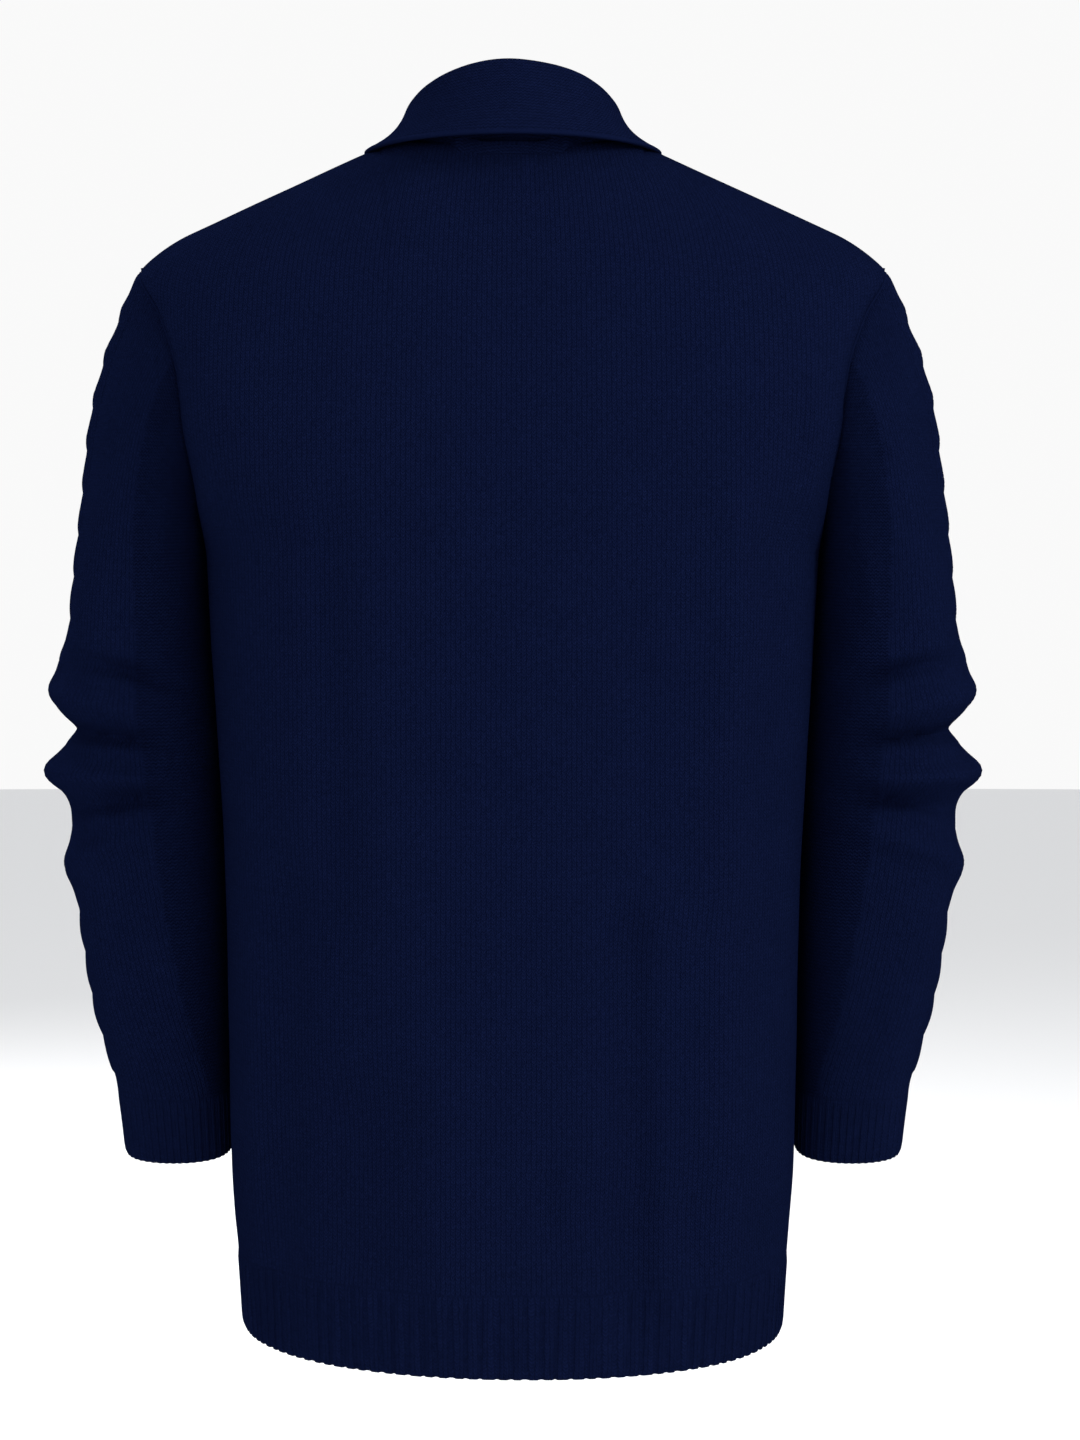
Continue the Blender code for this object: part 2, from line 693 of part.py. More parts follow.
def collar_mesh(name):
    """The shawl collar, lofted from the foot of one lapel round the neck to the other's."""
    half = [front_station(rise) for rise in (LAPEL_FOOT, NECK_RISES[0] / 2, *NECK_RISES)]
    half += [back_station(math.radians(turn)) for turn in NECK_TURNS[::-1]]
    mirrored = [
        (*(Vector((-p.x, p.y, p.z)) for p in points), crown) for *points, crown in half[::-1]
    ]
    stations = half + [back_station(0.0)] + mirrored
    shape = bmesh.new()
    rings = [[shape.verts.new(p) for p in collar_section(*station)] for station in stations]
    count = len(rings[0])
    for near, far in zip(rings, rings[1:]):
        for i in range(count):
            j = (i + 1) % count
            shape.faces.new((near[i], near[j], far[j], far[i]))
    half_count = count // 2
    for ring in (rings[0], rings[-1]):
        for i in range(half_count - 1):
            j = count - 1 - i
            shape.faces.new((ring[i], ring[i + 1], ring[j - 1], ring[j]))
    bmesh.ops.recalc_face_normals(shape, faces=shape.faces)
    mesh = bpy.data.meshes.new(name)
    shape.to_mesh(mesh)
    shape.free()
    return mesh


# ---------------------------------------------------------------- bands and buttons


def band_columns(up):
    half = BAND_WIDTH / 2
    return [across_at(x, up) for x in (-half, 0.0, half)]


BAND_STEPS = 16
BAND_ROWS = evenly(0.0, 1.0 - 4 * SEAM_UP, BAND_STEPS)
LEFT_BAND_LEVEL = WALL + SEAM_GAP


def band_mesh(name, level):
    return panel_mesh(name, -1, BAND_ROWS, band_columns, level)


def button_mesh(name):
    """A turned button with a raised rim, its back on the X-Y plane."""
    radius, thick = BUTTON_RADIUS, BUTTON_THICK
    profile = (
        (0.0, 0.72 * thick),
        (0.62 * radius, 0.72 * thick),
        (0.74 * radius, thick),
        (0.90 * radius, thick),
        (radius, 0.70 * thick),
        (radius, 0.20 * thick),
        (0.88 * radius, 0.0),
        (0.0, 0.0),
    )
    mesh = bpy.data.meshes.new(name)
    edges = [(i, i + 1) for i in range(len(profile) - 1)]
    mesh.from_pydata([(r, 0.0, z) for r, z in profile], edges, [])
    return mesh


def add_button(number, finish, collection):
    """A button on the left band, turned to face the way the band does."""
    low, high = HEM_HEIGHT + LOW_BUTTON_RISE, UNDERARM_HEIGHT - TOP_BUTTON_DROP
    height = high + (low - high) * number / (BUTTON_COUNT - 1)
    up = (height - HEM_HEIGHT) / (UNDERARM_HEIGHT - HEM_HEIGHT)
    normal = torso_normal(-1, 0.0, up)
    name = f"button_{number + 1}"
    mesh = button_mesh(name)
    mesh.materials.append(finish)
    made = bpy.data.objects.new(name, mesh)
    made.location = torso(-1, 0.0, up) + normal * (LEFT_BAND_LEVEL + SEAM_GAP)
    made.rotation_mode = "QUATERNION"
    made.rotation_quaternion = normal.to_track_quat("Z", "Y")
    turned = made.modifiers.new("turned", "SCREW")
    turned.axis = "Z"
    turned.steps = turned.render_steps = BUTTON_SIDES
    turned.use_merge_vertices = True
    turned.merge_threshold = 0.00005
    collection.objects.link(made)


def main():
    for old in list(bpy.data.objects):
        bpy.data.objects.remove(old)
    collection = bpy.data.collections.new("cardigan")
    bpy.context.scene.collection.children.link(collection)
    wool = material("navy_knit", NAVY, 0.9)
    horn = material("navy_button", BUTTON_COLOUR, 0.4)

    side_edge = across_at(BAND_EDGE, 0.0)
    walls = {
        "back": panel_mesh("back", 1, PANEL_ROWS, back_columns),
        "front_left": panel_mesh("front_left", -1, PANEL_ROWS, front_columns(1)),
        "front_right": panel_mesh("front_right", -1, PANEL_ROWS, front_columns(-1)),
        "hem_rib_back": hem_rib_mesh("hem_rib_back", 1, -1.0, 1.0),
        "hem_rib_left": hem_rib_mesh("hem_rib_left", -1, side_edge, 1.0),
        "hem_rib_right": hem_rib_mesh("hem_rib_right", -1, -1.0, -side_edge),
        "sleeve_left": sleeve_mesh("sleeve_left", 1),
        "sleeve_right": sleeve_mesh("sleeve_right", -1),
        "cuff_left": cuff_mesh("cuff_left", 1),
        "cuff_right": cuff_mesh("cuff_right", -1),
        "collar": collar_mesh("collar"),
        "band_left": band_mesh("band_left", LEFT_BAND_LEVEL),
        "band_right": band_mesh("band_right", 0.0),
    }
    for name, mesh in walls.items():
        add_object(name, mesh, wool, collection)
    for number in range(BUTTON_COUNT):
        add_button(number, horn, collection)


main()
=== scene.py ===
"""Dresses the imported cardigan: knitted walls with their stitches, folds, ribs and cables, the
seams' linking stitches and the buttons, on a pale floor under soft light.

Metres, +Z up. The front faces -Y and the wearer's left is +X. Two surfaces give every knitted
piece, as in the frame: the torso, read by how far across and how far up a point lies, and the
sleeve, read by the angle round the arm and by the way down it. Points are NumPy arrays whose
last axis is x, y, z.
"""

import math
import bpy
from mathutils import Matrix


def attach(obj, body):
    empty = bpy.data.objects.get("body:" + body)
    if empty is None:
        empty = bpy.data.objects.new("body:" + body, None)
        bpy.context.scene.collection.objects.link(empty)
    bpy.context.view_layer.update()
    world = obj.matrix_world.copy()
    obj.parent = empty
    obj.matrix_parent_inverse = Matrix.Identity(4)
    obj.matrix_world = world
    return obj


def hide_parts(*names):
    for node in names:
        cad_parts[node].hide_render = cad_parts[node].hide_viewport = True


bl_info = {
    "name": "Knitted Cardigan",
    "version": (1, 0, 0),
    "blender": (4, 5, 0),
    "location": "View3D > Sidebar > Cardigan",
    "description": "Builds a knitted cardigan with a shawl collar round its packed frame",
    "category": "Object",
}

import bpy
import numpy as np
from mathutils import Matrix, Vector

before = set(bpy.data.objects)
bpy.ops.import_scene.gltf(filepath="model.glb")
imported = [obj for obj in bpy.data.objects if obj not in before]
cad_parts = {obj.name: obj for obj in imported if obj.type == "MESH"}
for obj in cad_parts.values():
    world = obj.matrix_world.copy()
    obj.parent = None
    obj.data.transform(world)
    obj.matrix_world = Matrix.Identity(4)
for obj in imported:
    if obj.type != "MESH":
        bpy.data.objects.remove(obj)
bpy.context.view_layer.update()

# Walls and seams
WALL = 0.0024
COLLAR_WALL = 0.0026
SEAM_GAP = 0.0004
SEAM_YARN_DEPTH = 0.0016
SHOULDER_YARN_DEPTH = 0.0014
NECK_YARN_DEPTH = 0.0004
LEAF_YARN_DEPTH = 0.0002

# Torso
HEM_HEIGHT = -0.6800
HEM_SIDE_RISE = 0.0035
HEM_TILT = 0.0018
HEM_BAND = 0.0440
UNDERARM_HEIGHT = -0.2350
NECK_REACH = 0.0745
NECK_BACK_DEPTH = 0.0600
NECK_BACK_DROP = 0.0095
SHOULDER_REACH = 0.2135
SHOULDER_SLOPE = 0.459
TIP_REACH = 0.0300
TIP_DROP = 0.0070
TIP_EDGE = SHOULDER_REACH - 0.0003
TIP_LEVEL = -0.0750
SHOULDER_ROLL = 2.2
HEM_SEAM = HEM_BAND / (UNDERARM_HEIGHT - HEM_HEIGHT)
SEAM_UP = SEAM_GAP / (UNDERARM_HEIGHT - HEM_HEIGHT)

# Front opening
BAND_WIDTH = 0.0350
BAND_EDGE = BAND_WIDTH / 2 + SEAM_GAP
BAND_TOP = 1.0 - 4 * SEAM_UP
BAND_LEVELS = {"band_left": WALL + SEAM_GAP, "band_right": 0.0}
NECKLINE_CURVE = 0.85
BUTTON_COUNT = 5
TOP_BUTTON_DROP = 0.0250
LOW_BUTTON_RISE = 0.0300
BUTTON_SPINS = (37, 8, -21, 52, 15)

# Sleeves
SLEEVE_TOP = -0.0703
LEVEL_HEIGHT = -0.3300
ROW_TILT = 1.25
CUFF_TOP = -0.5420
CUFF_END = CUFF_TOP - 0.0355
CUFF_TILT = 0.0055
SLEEVE_SQUARENESS = 2.75
CREASE_ARM = 0.05

# Counts of stitches and rows in the grids
PANEL_LOW_ROWS, PANEL_HIGH_ROWS = 125, 84
NECK_COLUMNS, SHOULDER_COLUMNS, FRONT_COLUMNS = 23, 57, 69
SLEEVE_ROWS, CABLE_COLUMNS, PLAIN_COLUMNS = 214, 37, 92

# How the cloth is laid: the width over which its slack fades out towards a seam and towards
# the collar's leaf edge, how far ribs and bands lie inside the form, how much wider the
# stitches spread at the back of the neck and over what height, and how far the sleeve's
# stitches keep from purl
SLACK_EDGE, LEAF_SLACK_EDGE = 0.02, 0.01
RIB_SINK, BAND_SINK = 0.35, 0.0004
NECK_SPREAD, NECK_SPREAD_HEIGHT = 0.18, 0.09
PURL_FROM, PURL_WANDER, PURL_STEP = 0.084, 0.003, 0.0012
CABLE_HALF_ANGLE = 0.42

# How far the edges roll in, and over what width
HEM_ROLL, CUFF_ROLL, EDGE_ROLL = (0.0012, 0.0022), (0.0010, 0.0020), (0.0006, 0.0016)
LEAF_ROLL = (0.0006, 0.0022)


class Table:
    """Rows of named columns. The first column is the key; the rest are read by a smooth curve
    that passes through each row and doesn't overshoot between them."""

    def __init__(self, names, rows):
        table = np.array(rows, float)
        self.keys = table[:, 0]
        self.steps = np.diff(self.keys)
        self.values = dict(zip(names, table.T))
        self.slopes = {name: self.slopes_of(values) for name, values in self.values.items()}

    def slopes_of(self, values):
        chords = np.diff(values) / self.steps
        before, after = chords[:-1], chords[1:]
        level = before * after <= 0
        total = np.where(level, 1.0, before + after)
        inner = np.where(level, 0.0, 2 * before * after / total)
        return np.concatenate([[chords[0]], inner, [0.0]])

    def at(self, name, key):
        key = np.clip(key, self.keys[0], self.keys[-1])
        i = np.clip(np.searchsorted(self.keys, key, side="right") - 1, 0, len(self.steps) - 1)
        values, slopes, step = self.values[name], self.slopes[name], self.steps[i]
        share = (key - self.keys[i]) / step
        start, end = slopes[i] * step, slopes[i + 1] * step
        return (
            values[i]
            + start * share * (1 - share) ** 2
            + (values[i + 1] - values[i]) * share**2 * (3 - 2 * share)
            - end * share**2 * (1 - share)
        )


# The torso's horizontal section: half its width, its reach to the back and to the front, and
# how square it is (2 is an ellipse).
TORSO = Table(
    ("height", "width", "back", "front", "square"),
    (
        (-0.680, 0.1535, 0.1200, 0.1180, 2.20),
        (-0.630, 0.1568, 0.1175, 0.1200, 2.25),
        (-0.580, 0.1606, 0.1145, 0.1210, 2.35),
        (-0.430, 0.1638, 0.1095, 0.1220, 2.50),
        (-0.260, 0.1730, 0.1110, 0.1230, 2.65),
        (-0.200, 0.1768, 0.1110, 0.1200, 2.75),
        (-0.120, 0.1850, 0.1090, 0.1120, 3.00),
        (0.020, 0.1900, 0.1060, 0.1000, 3.00),
    ),
)

# The armhole seam, from the underarm (0) to the shoulder's tip (1).
ARMHOLE = Table(
    ("up", "reach", "back", "front"),
    (
        (0.00, float(TORSO.at("width", UNDERARM_HEIGHT)), 0.000, 0.000),
        (0.20, 0.1765, 0.042, 0.048),
        (0.42, 0.1825, 0.054, 0.058),
        (0.62, 0.1868, 0.056, 0.056),
        (0.82, 0.1985, 0.051, 0.048),
        (1.00, SHOULDER_REACH, 0.045, 0.040),
    ),
)

# Folds of the torso: where each starts at its low and its high end, how far it stands out (a
# hollow is negative), and half its width. Back is side 1, front is side -1. First the long soft
# folds, then the finer creases and pleats that lie over them.
FOLD_NAMES = ("side", "low_x", "low", "high_x", "high", "rise", "width")
TORSO_FOLDS = (
    (1, 0.128, -0.690, 0.120, -0.380, -0.0100, 0.013),
    (1, 0.088, -0.660, 0.092, -0.500, -0.0075, 0.026),
    (1, 0.030, -0.690, 0.040, -0.480, 0.0045, 0.020),
    (1, -0.020, -0.640, -0.016, -0.545, -0.0045, 0.009),
    (1, -0.066, -0.690, -0.062, -0.400, -0.0085, 0.013),
    (1, -0.118, -0.690, -0.124, -0.180, 0.0095, 0.015),
    (1, 0.096, -0.480, 0.100, -0.180, -0.0036, 0.012),
    (1, -0.072, -0.430, -0.070, -0.250, -0.0030, 0.010),
    (-1, 0.110, -0.690, 0.100, -0.360, -0.0050, 0.014),
    (-1, 0.062, -0.690, 0.070, -0.430, 0.0035, 0.014),
    (-1, -0.078, -0.690, -0.066, -0.400, -0.0050, 0.013),
    (-1, -0.120, -0.640, -0.118, -0.300, 0.0040, 0.016),
    (1, -0.171, -0.330, -0.163, -0.100, 0.0030, 0.0035),
    (1, -0.160, -0.420, -0.156, -0.130, -0.0022, 0.0050),
    (1, 0.168, -0.420, 0.160, -0.150, -0.0018, 0.0050),
    (1, 0.143, -0.690, 0.146, -0.440, 0.0050, 0.0075),
    (1, -0.104, -0.660, -0.092, -0.560, -0.0018, 0.0060),
    (1, -0.084, -0.690, -0.086, -0.520, 0.0014, 0.0080),
    (1, -0.042, -0.690, -0.040, -0.570, 0.0022, 0.0100),
    (1, 0.018, -0.690, 0.016, -0.600, -0.0012, 0.0045),
    (1, 0.112, -0.640, 0.104, -0.540, 0.0012, 0.0060),
    (1, -0.146, -0.640, -0.150, -0.200, -0.0032, 0.0080),
    (-1, 0.160, -0.420, 0.150, -0.130, -0.0024, 0.0060),
    (-1, -0.158, -0.450, -0.150, -0.150, -0.0022, 0.0055),
    (-1, 0.086, -0.680, 0.090, -0.520, -0.0018, 0.0060),
    (-1, 0.134, -0.690, 0.138, -0.500, 0.0020, 0.0060),
    (-1, -0.100, -0.690, -0.092, -0.540, 0.0018, 0.0060),
    (-1, -0.050, -0.600, -0.058, -0.330, 0.0020, 0.0080),
    (-1, 0.046, -0.560, 0.052, -0.300, -0.0016, 0.0070),
)
FOLD_END = 0.060

# The sleeve: its outer side, its inner side beside the torso, half its depth, and how far
# forward its middle lies.
SLEEVE = Table(
    ("height", "outer", "inner", "depth", "forward"),
    (
        (-0.585, 0.2250, 0.1634, 0.0375, 0.0300),
        (-0.540, 0.2310, 0.1648, 0.0390, 0.0300),
        (-0.490, 0.2440, 0.1658, 0.0440, 0.0285),
        (-0.430, 0.2525, 0.1670, 0.0490, 0.0260),
        (-0.375, 0.2568, 0.1688, 0.0530, 0.0225),
        (-0.330, 0.2588, 0.1706, 0.0560, 0.0185),
        (-0.262, 0.2535, 0.1752, 0.0620, 0.0110),
        (-0.190, 0.2453, 0.1790, 0.0700, 0.0040),
        (-0.155, 0.2410, 0.1800, 0.0710, 0.0020),
        (-0.120, 0.2324, 0.1800, 0.0690, 0.0010),
        (-0.096, 0.2232, 0.1800, 0.0660, 0.0000),
        (-0.082, 0.2188, 0.1800, 0.0630, 0.0000),
        (-0.0742, 0.2160, 0.1800, 0.0610, 0.0000),
        (-0.0700, 0.2135, 0.1800, 0.0600, 0.0000),
    ),
)

# The folds round the elbow: the height of each on the outer side, at the back, on the inner
# side and in front, how far it stands out on the outer side and behind, and half its width.
ELBOW_FOLDS = (
    (-0.2950, -0.3020, -0.3150, -0.3000, 0.0036, -0.0095, 0.0090),
    (-0.3120, -0.3250, -0.3300, -0.3220, 0.0082, 0.0045, 0.0110),
    (-0.3335, -0.3395, -0.3400, -0.3360, -0.0085, -0.0100, 0.0082),
    (-0.3590, -0.3625, -0.3610, -0.3640, 0.0122, 0.0074, 0.0100),
    (-0.3820, -0.3735, -0.3725, -0.3790, -0.0018, -0.0100, 0.0090),
    (-0.4145, -0.3960, -0.3900, -0.4050, 0.0062, 0.0034, 0.0110),
)
FRONT_FOLD_SHARE = 0.8
BACK_FOLD_TIGHTENING = 0.45

# Finer creases of each sleeve: hand (left is 1), the angle round the arm and the height at both
# ends, how far it stands out, and half its width.
SLEEVE_CREASES = (
    (1, 0.55, -0.366, 1.50, -0.392, 0.0016, 0.0055),
    (1, 0.40, -0.380, 1.20, -0.404, -0.0012, 0.0050),
    (1, 1.60, -0.130, 1.10, -0.240, -0.0022, 0.0070),
    (1, 2.00, -0.180, 1.70, -0.300, 0.0018, 0.0080),
    (1, 1.30, -0.430, 1.70, -0.500, -0.0012, 0.0070),
    (1, 4.40, -0.150, 4.90, -0.260, -0.0022, 0.0080),
    (1, 5.20, -0.420, 4.70, -0.500, -0.0014, 0.0070),
    (-1, 0.70, -0.372, 1.70, -0.386, 0.0014, 0.0055),
    (-1, 1.45, -0.140, 1.00, -0.250, -0.0024, 0.0070),
    (-1, 1.90, -0.200, 1.80, -0.310, 0.0016, 0.0080),
    (-1, 0.90, -0.440, 1.30, -0.510, -0.0014, 0.0080),
    (-1, 4.60, -0.160, 5.00, -0.270, -0.0020, 0.0080),
    (-1, 5.00, -0.400, 4.60, -0.480, -0.0016, 0.0070),
)

# The collar's fold line and leaf edge, over the back from the middle to the side of the neck.
FOLD_REACH, FOLD_DEPTH = 0.0595, 0.0540
FOLD_TOP, FOLD_DROP, FOLD_DROP_POWER = 0.0373, 0.0275, 1.8
LEAF_REACH, LEAF_DEPTH = 0.0842, 0.0750
LEAF_HEIGHT, LEAF_SIDE_HEIGHT = -0.0062, -0.0040
LEAF_BULGE, LEAF_HOLLOW, LEAF_SIDE_HOLLOW = 0.0015, 0.0040, 0.0042
FOLD_RADIUS = 0.0018
LAPEL_FOOT, LAPEL_END = 0.006, 0.99
EDGE_STEP = 0.005
STAND_ALLOWANCE = 0.0045
LEAF_STEPS, TURN_STEPS, STAND_STEPS = 22, 8, 12

# The same two lines down the front, by the height up the V of the neck.
LAPEL = Table(
    ("up", "fold_x", "fold_level", "leaf_x", "leaf_level"),
    (
        (0.00, 0.0022, 0.0050, 0.0300, 0.0022),
        (0.10, 0.0060, 0.0058, 0.0480, 0.0024),
        (0.25, 0.0140, 0.0066, 0.0700, 0.0026),
        (0.45, 0.0260, 0.0072, 0.0920, 0.0028),
        (0.65, 0.0385, 0.0076, 0.1040, 0.0030),
        (0.82, 0.0500, 0.0080, 0.1040, 0.0034),
        (0.93, 0.0570, 0.0082, 0.0960, 0.0046),
        (1.00, FOLD_REACH, 0.0086, LEAF_REACH, 0.0046),
    ),
)

# A dished button's turned outline, from the middle of its face to that of its back, in shares
# of its radius and its thickness.
BUTTON_OUTLINE = (
    (0.0, 0.62), (0.30, 0.63), (0.52, 0.67), (0.62, 0.76), (0.69, 0.92), (0.76, 1.0),
    (0.86, 0.99), (0.94, 0.88), (0.985, 0.68), (1.0, 0.45), (0.975, 0.22), (0.90, 0.05),
    (0.80, 0.0), (0.0, 0.0),
)

# The wool's unevenness, in patches, stitches and hairs: how fine each is and its detail, and
# how the colour follows it.
WOOL_SPOTS = (
    ((34.0, 5.0), (0.18, 0.91)),
    ((430.0, 2.0), (0.6, 0.7)),
    ((1900.0, 3.0), (0.9, 0.55)),
)
# Painted shade: how much darker the purl side's colour is painted than the plain knit
PURL_PAINTED_SHADE = -0.18
NAVY_GAIN = 1.12

# The lights: where each hangs, how wide it is, and its share of the key light's power.
LIGHTS = (
    ("key", (-2.4, 1.2, 1.4), 1.0, 1.0),
    ("fill", (0.2, 2.7, 0.5), 2.0, 0.60),
    ("front_key", (1.6, -2.0, 1.4), 1.4, 1.2),
    ("top", (0.0, 0.6, 2.4), 1.6, 0.20),
)
LIT_MIDDLE = (0.0, 0.0, -0.33)
CAMERA_SIDE, CAMERA_HEIGHT = -0.0155, -0.329
BACKDROP_OUTLINE = ((0.0, 24.0), (18.0, 16.0), (24.0, 0.0), (18.0, -16.0), (0.0, -24.0))


# ---------------------------------------------------------------- small sums


def point_of(x, y, z):
    return np.stack(np.broadcast_arrays(x, y, z), axis=-1).astype(float)


def mirrored(points, facings):
    return points * (-1, 1, 1), facings * (-1, 1, 1)


def soft_bump(distance, width):
    return np.exp(-((distance / width) ** 2))


def rolled_in(distance, roll):
    depth, width = roll
    return -depth * soft_bump(distance, width)


def eased(value):
    value = np.clip(value, 0.0, 1.0)
    return value * value * (3 - 2 * value)


def unit(vectors):
    return vectors / np.maximum(np.linalg.norm(vectors, axis=-1, keepdims=True), 1e-12)


def dot(a, b):
    return (a * b).sum(axis=-1, keepdims=True)


def turned_out(normals, outward):
    return np.where(dot(normals, outward) < 0, -normals, normals)


def facing(surface, u, v, high_u, high_v, outward):
    """The unit normals of a surface at u, v, by small steps that stay on it."""
    step = 0.0008
    u0, u1 = np.maximum(u - step, -high_u), np.minimum(u + step, high_u)
    v0, v1 = np.maximum(v - step, 0.0), np.minimum(v + step, high_v)
    along_u = surface(u1, v) - surface(u0, v)
    along_v = surface(u, v1) - surface(u, v0)
    return turned_out(unit(np.cross(along_u, along_v)), outward)


def slack(across, along, seed):
    """A slow uneven rise and fall of about one unit, as hand-hung cloth has."""
    waves = ((19, 7, 0.4), (-11, 16, 0.3), (31, -13, 0.2), (8, 41, 0.16))
    total = 0.0
    for i, (wave_u, wave_v, lift) in enumerate(waves):
        phase = 1.7 * seed + 2.3 * i
        total = total + lift * np.sin(wave_u * across * 3.1 + wave_v * along * 2.3 + phase)
    return total


def running_length(points, axis, axes=(0, 1, 2)):
    """The length along rows or columns of a grid of points, from its first one, measured in
    the given coordinates alone."""
    steps = np.linalg.norm(np.diff(points[..., list(axes)], axis=axis), axis=-1)
    start = np.zeros_like(np.take(steps, [0], axis=axis))
    return np.concatenate([start, np.cumsum(steps, axis=axis)], axis=axis)


# ---------------------------------------------------------------- torso


def tip_height(share):
    reach = share * SHOULDER_REACH
    past = np.maximum(reach - (SHOULDER_REACH - TIP_REACH), 0.0) / TIP_REACH
    return SHOULDER_SLOPE * (NECK_REACH - reach) - TIP_DROP * past**2


def top_line(side, share):
    """Depth and height of the panel's top: the shoulder seam and, at the back, the neck."""
    neck_share = NECK_REACH / SHOULDER_REACH
    over_neck = (share < neck_share) & (side > 0)
    round_neck = np.sqrt(np.maximum(1 - (share / neck_share) ** 2, 0.0))
    depth = np.where(over_neck, NECK_BACK_DEPTH * round_neck, 0.0)
    return depth, np.where(over_neck, -NECK_BACK_DROP * round_neck**2, tip_height(share))


def eased_top(side, share, rise, z):
    """The rise and the top edge's depth, as the cloth below the edge takes them: the corner at
    the neck point fades out downwards and runs on as no crease."""
    top_depth = top_line(side, share)[0]
    offsets = np.linspace(-0.16, 0.16, 9)
    weights = np.cos(offsets / 0.17 * np.pi / 2) ** 2
    depth, top = np.tensordot(
        weights / weights.sum(), [top_line(side, np.abs(share + offset)) for offset in offsets], 1
    )
    level = (z - UNDERARM_HEIGHT) / (top - UNDERARM_HEIGHT)
    below_edge = soft_bump(share - NECK_REACH / SHOULDER_REACH, 0.28) * (1 - rise**24)
    return rise + (level - rise) * below_edge, top_depth + (depth - top_depth) * below_edge


def torso_fold(side, x, z):
    total = np.zeros(np.broadcast(x, z).shape)
    for row in TORSO_FOLDS:
        fold = dict(zip(FOLD_NAMES, row))
        if fold["side"] == side:
            along = (z - fold["low"]) / (fold["high"] - fold["low"])
            middle = fold["low_x"] + (fold["high_x"] - fold["low_x"]) * np.clip(along, 0.0, 1.0)
            end = eased((fold["high"] - z) / FOLD_END) * eased((z - fold["low"]) / FOLD_END)
            total += fold["rise"] * end * soft_bump(x - middle, fold["width"])
    return total


def torso(side, across, up):
    """Points of the torso's outer face. across runs from -1 to 1, seam to seam; up runs from
    0 at the hem over 1 at the underarm to 2 at the shoulder seam."""
    across, up = np.broadcast_arrays(np.asarray(across, float), np.asarray(up, float))
    share = np.abs(np.sin(across * np.pi / 2))
    name = "back" if side > 0 else "front"
    below = up <= 1
    rise = np.clip(up - 1, 0.0, 1.0)
    low = HEM_HEIGHT + HEM_SIDE_RISE * (share**2 + share**10) + HEM_TILT * share * np.sign(across)
    top = top_line(side, share)[1]
    z = np.where(
        below,
        low + (UNDERARM_HEIGHT - low) * up,
        UNDERARM_HEIGHT + (top - UNDERARM_HEIGHT) * rise,
    )
    reach = np.where(below, TORSO.at("width", z), ARMHOLE.at("reach", rise))
    felt_rise, top_depth = eased_top(side, share, rise, z)
    rise = np.where(below, rise, felt_rise)
    seam_depth = np.where(below, 0.0, ARMHOLE.at(name, rise))
    upward = np.sqrt(np.maximum(1 - np.clip(rise, 0, 1) ** SHOULDER_ROLL, 0.0))
    roll = np.where(below, 1.0, upward)
    square = TORSO.at("square", z)
    crown = np.maximum(1 - share**square, 0.0) ** (1 / square)
    x = share * reach * np.sign(across)
    depth = seam_depth + (TORSO.at(name, z) - seam_depth + torso_fold(side, x, z)) * crown
    depth = depth * roll + np.where(below, 0.0, top_depth) * (1 - roll) ** 2
    return point_of(x, side * (depth + SEAM_GAP / 2), z)


def across_at(x, up):
    """How far across a point at x lies, at this height."""
    up = np.asarray(up, float)
    low = HEM_HEIGHT + (UNDERARM_HEIGHT - HEM_HEIGHT) * up
    reach = np.where(up <= 1, TORSO.at("width", low), ARMHOLE.at("reach", up - 1))
    return np.arcsin(np.clip(x / reach, -1, 1)) * 2 / np.pi


def neck_across(turn):
    """How far across the neck's edge lies, at an angle round it from the middle of the back."""
    return np.arcsin(NECK_REACH * np.sin(turn) / SHOULDER_REACH) * 2 / np.pi


def neckline(rise):
    """How far from the middle the front's edge lies, up the V of the neck."""
    return BAND_EDGE + (NECK_REACH - BAND_EDGE) * np.maximum(rise, 0.0) ** NECKLINE_CURVE


def torso_normal(side, across, up):
    points = torso(side, across, up)
    middle = np.where(np.asarray(up) > 1, UNDERARM_HEIGHT, points[..., 2])
    away = points - point_of(0.0, 0.0, middle)
    return facing(lambda u, v: torso(side, u, v), across, up, 1.0, 2.0, away)


# ---------------------------------------------------------------- sleeve


def round_the_arm(outer, back, inner, front, angle):
    """A value given on four sides of the arm, read smoothly at an angle between them."""
    even = (outer + inner - back - front) / 4
    mean = (outer + inner + back + front) / 4
    sideways = (outer - inner) / 2 * np.cos(angle) + (back - front) / 2 * np.sin(angle)
    return mean + sideways + even * np.cos(2 * angle)


def elbow_fold(angle, z):
    total = np.zeros(np.broadcast(angle, z).shape)
    fade = np.where(np.cos(angle) < 0, 1 + np.cos(angle), 1.0)
    for outer, back, inner, front, rise, behind, width in ELBOW_FOLDS:
        height = round_the_arm(outer, back, inner, front, angle)
        lift = round_the_arm(rise, behind, 0.0, behind * FRONT_FOLD_SHARE, angle)
        tight = 1 - BACK_FOLD_TIGHTENING * np.abs(np.sin(angle))
        total += lift * fade * soft_bump(z - height, width * tight)
    return total


def sleeve_crease(hand, angle, z):
    """The finer creases: soft ridges and hollows along short slanted lines."""
    total = np.zeros(np.broadcast(angle, z).shape)
    turn = np.mod(angle, 2 * np.pi)
    for owner, start, high, end, low, rise, width in SLEEVE_CREASES:
        if owner == hand:
            run = np.array([(end - start) * CREASE_ARM, low - high])
            length = np.hypot(*run)
            dx, dz = (turn - start) * CREASE_ARM, z - high
            along = (dx * run[0] + dz * run[1]) / length**2
            off = (dx * run[1] - dz * run[0]) / length
            ends = eased(1.5 * along) * eased(1.5 * (1 - along))
            total += rise * ends * soft_bump(off, width)
    return total


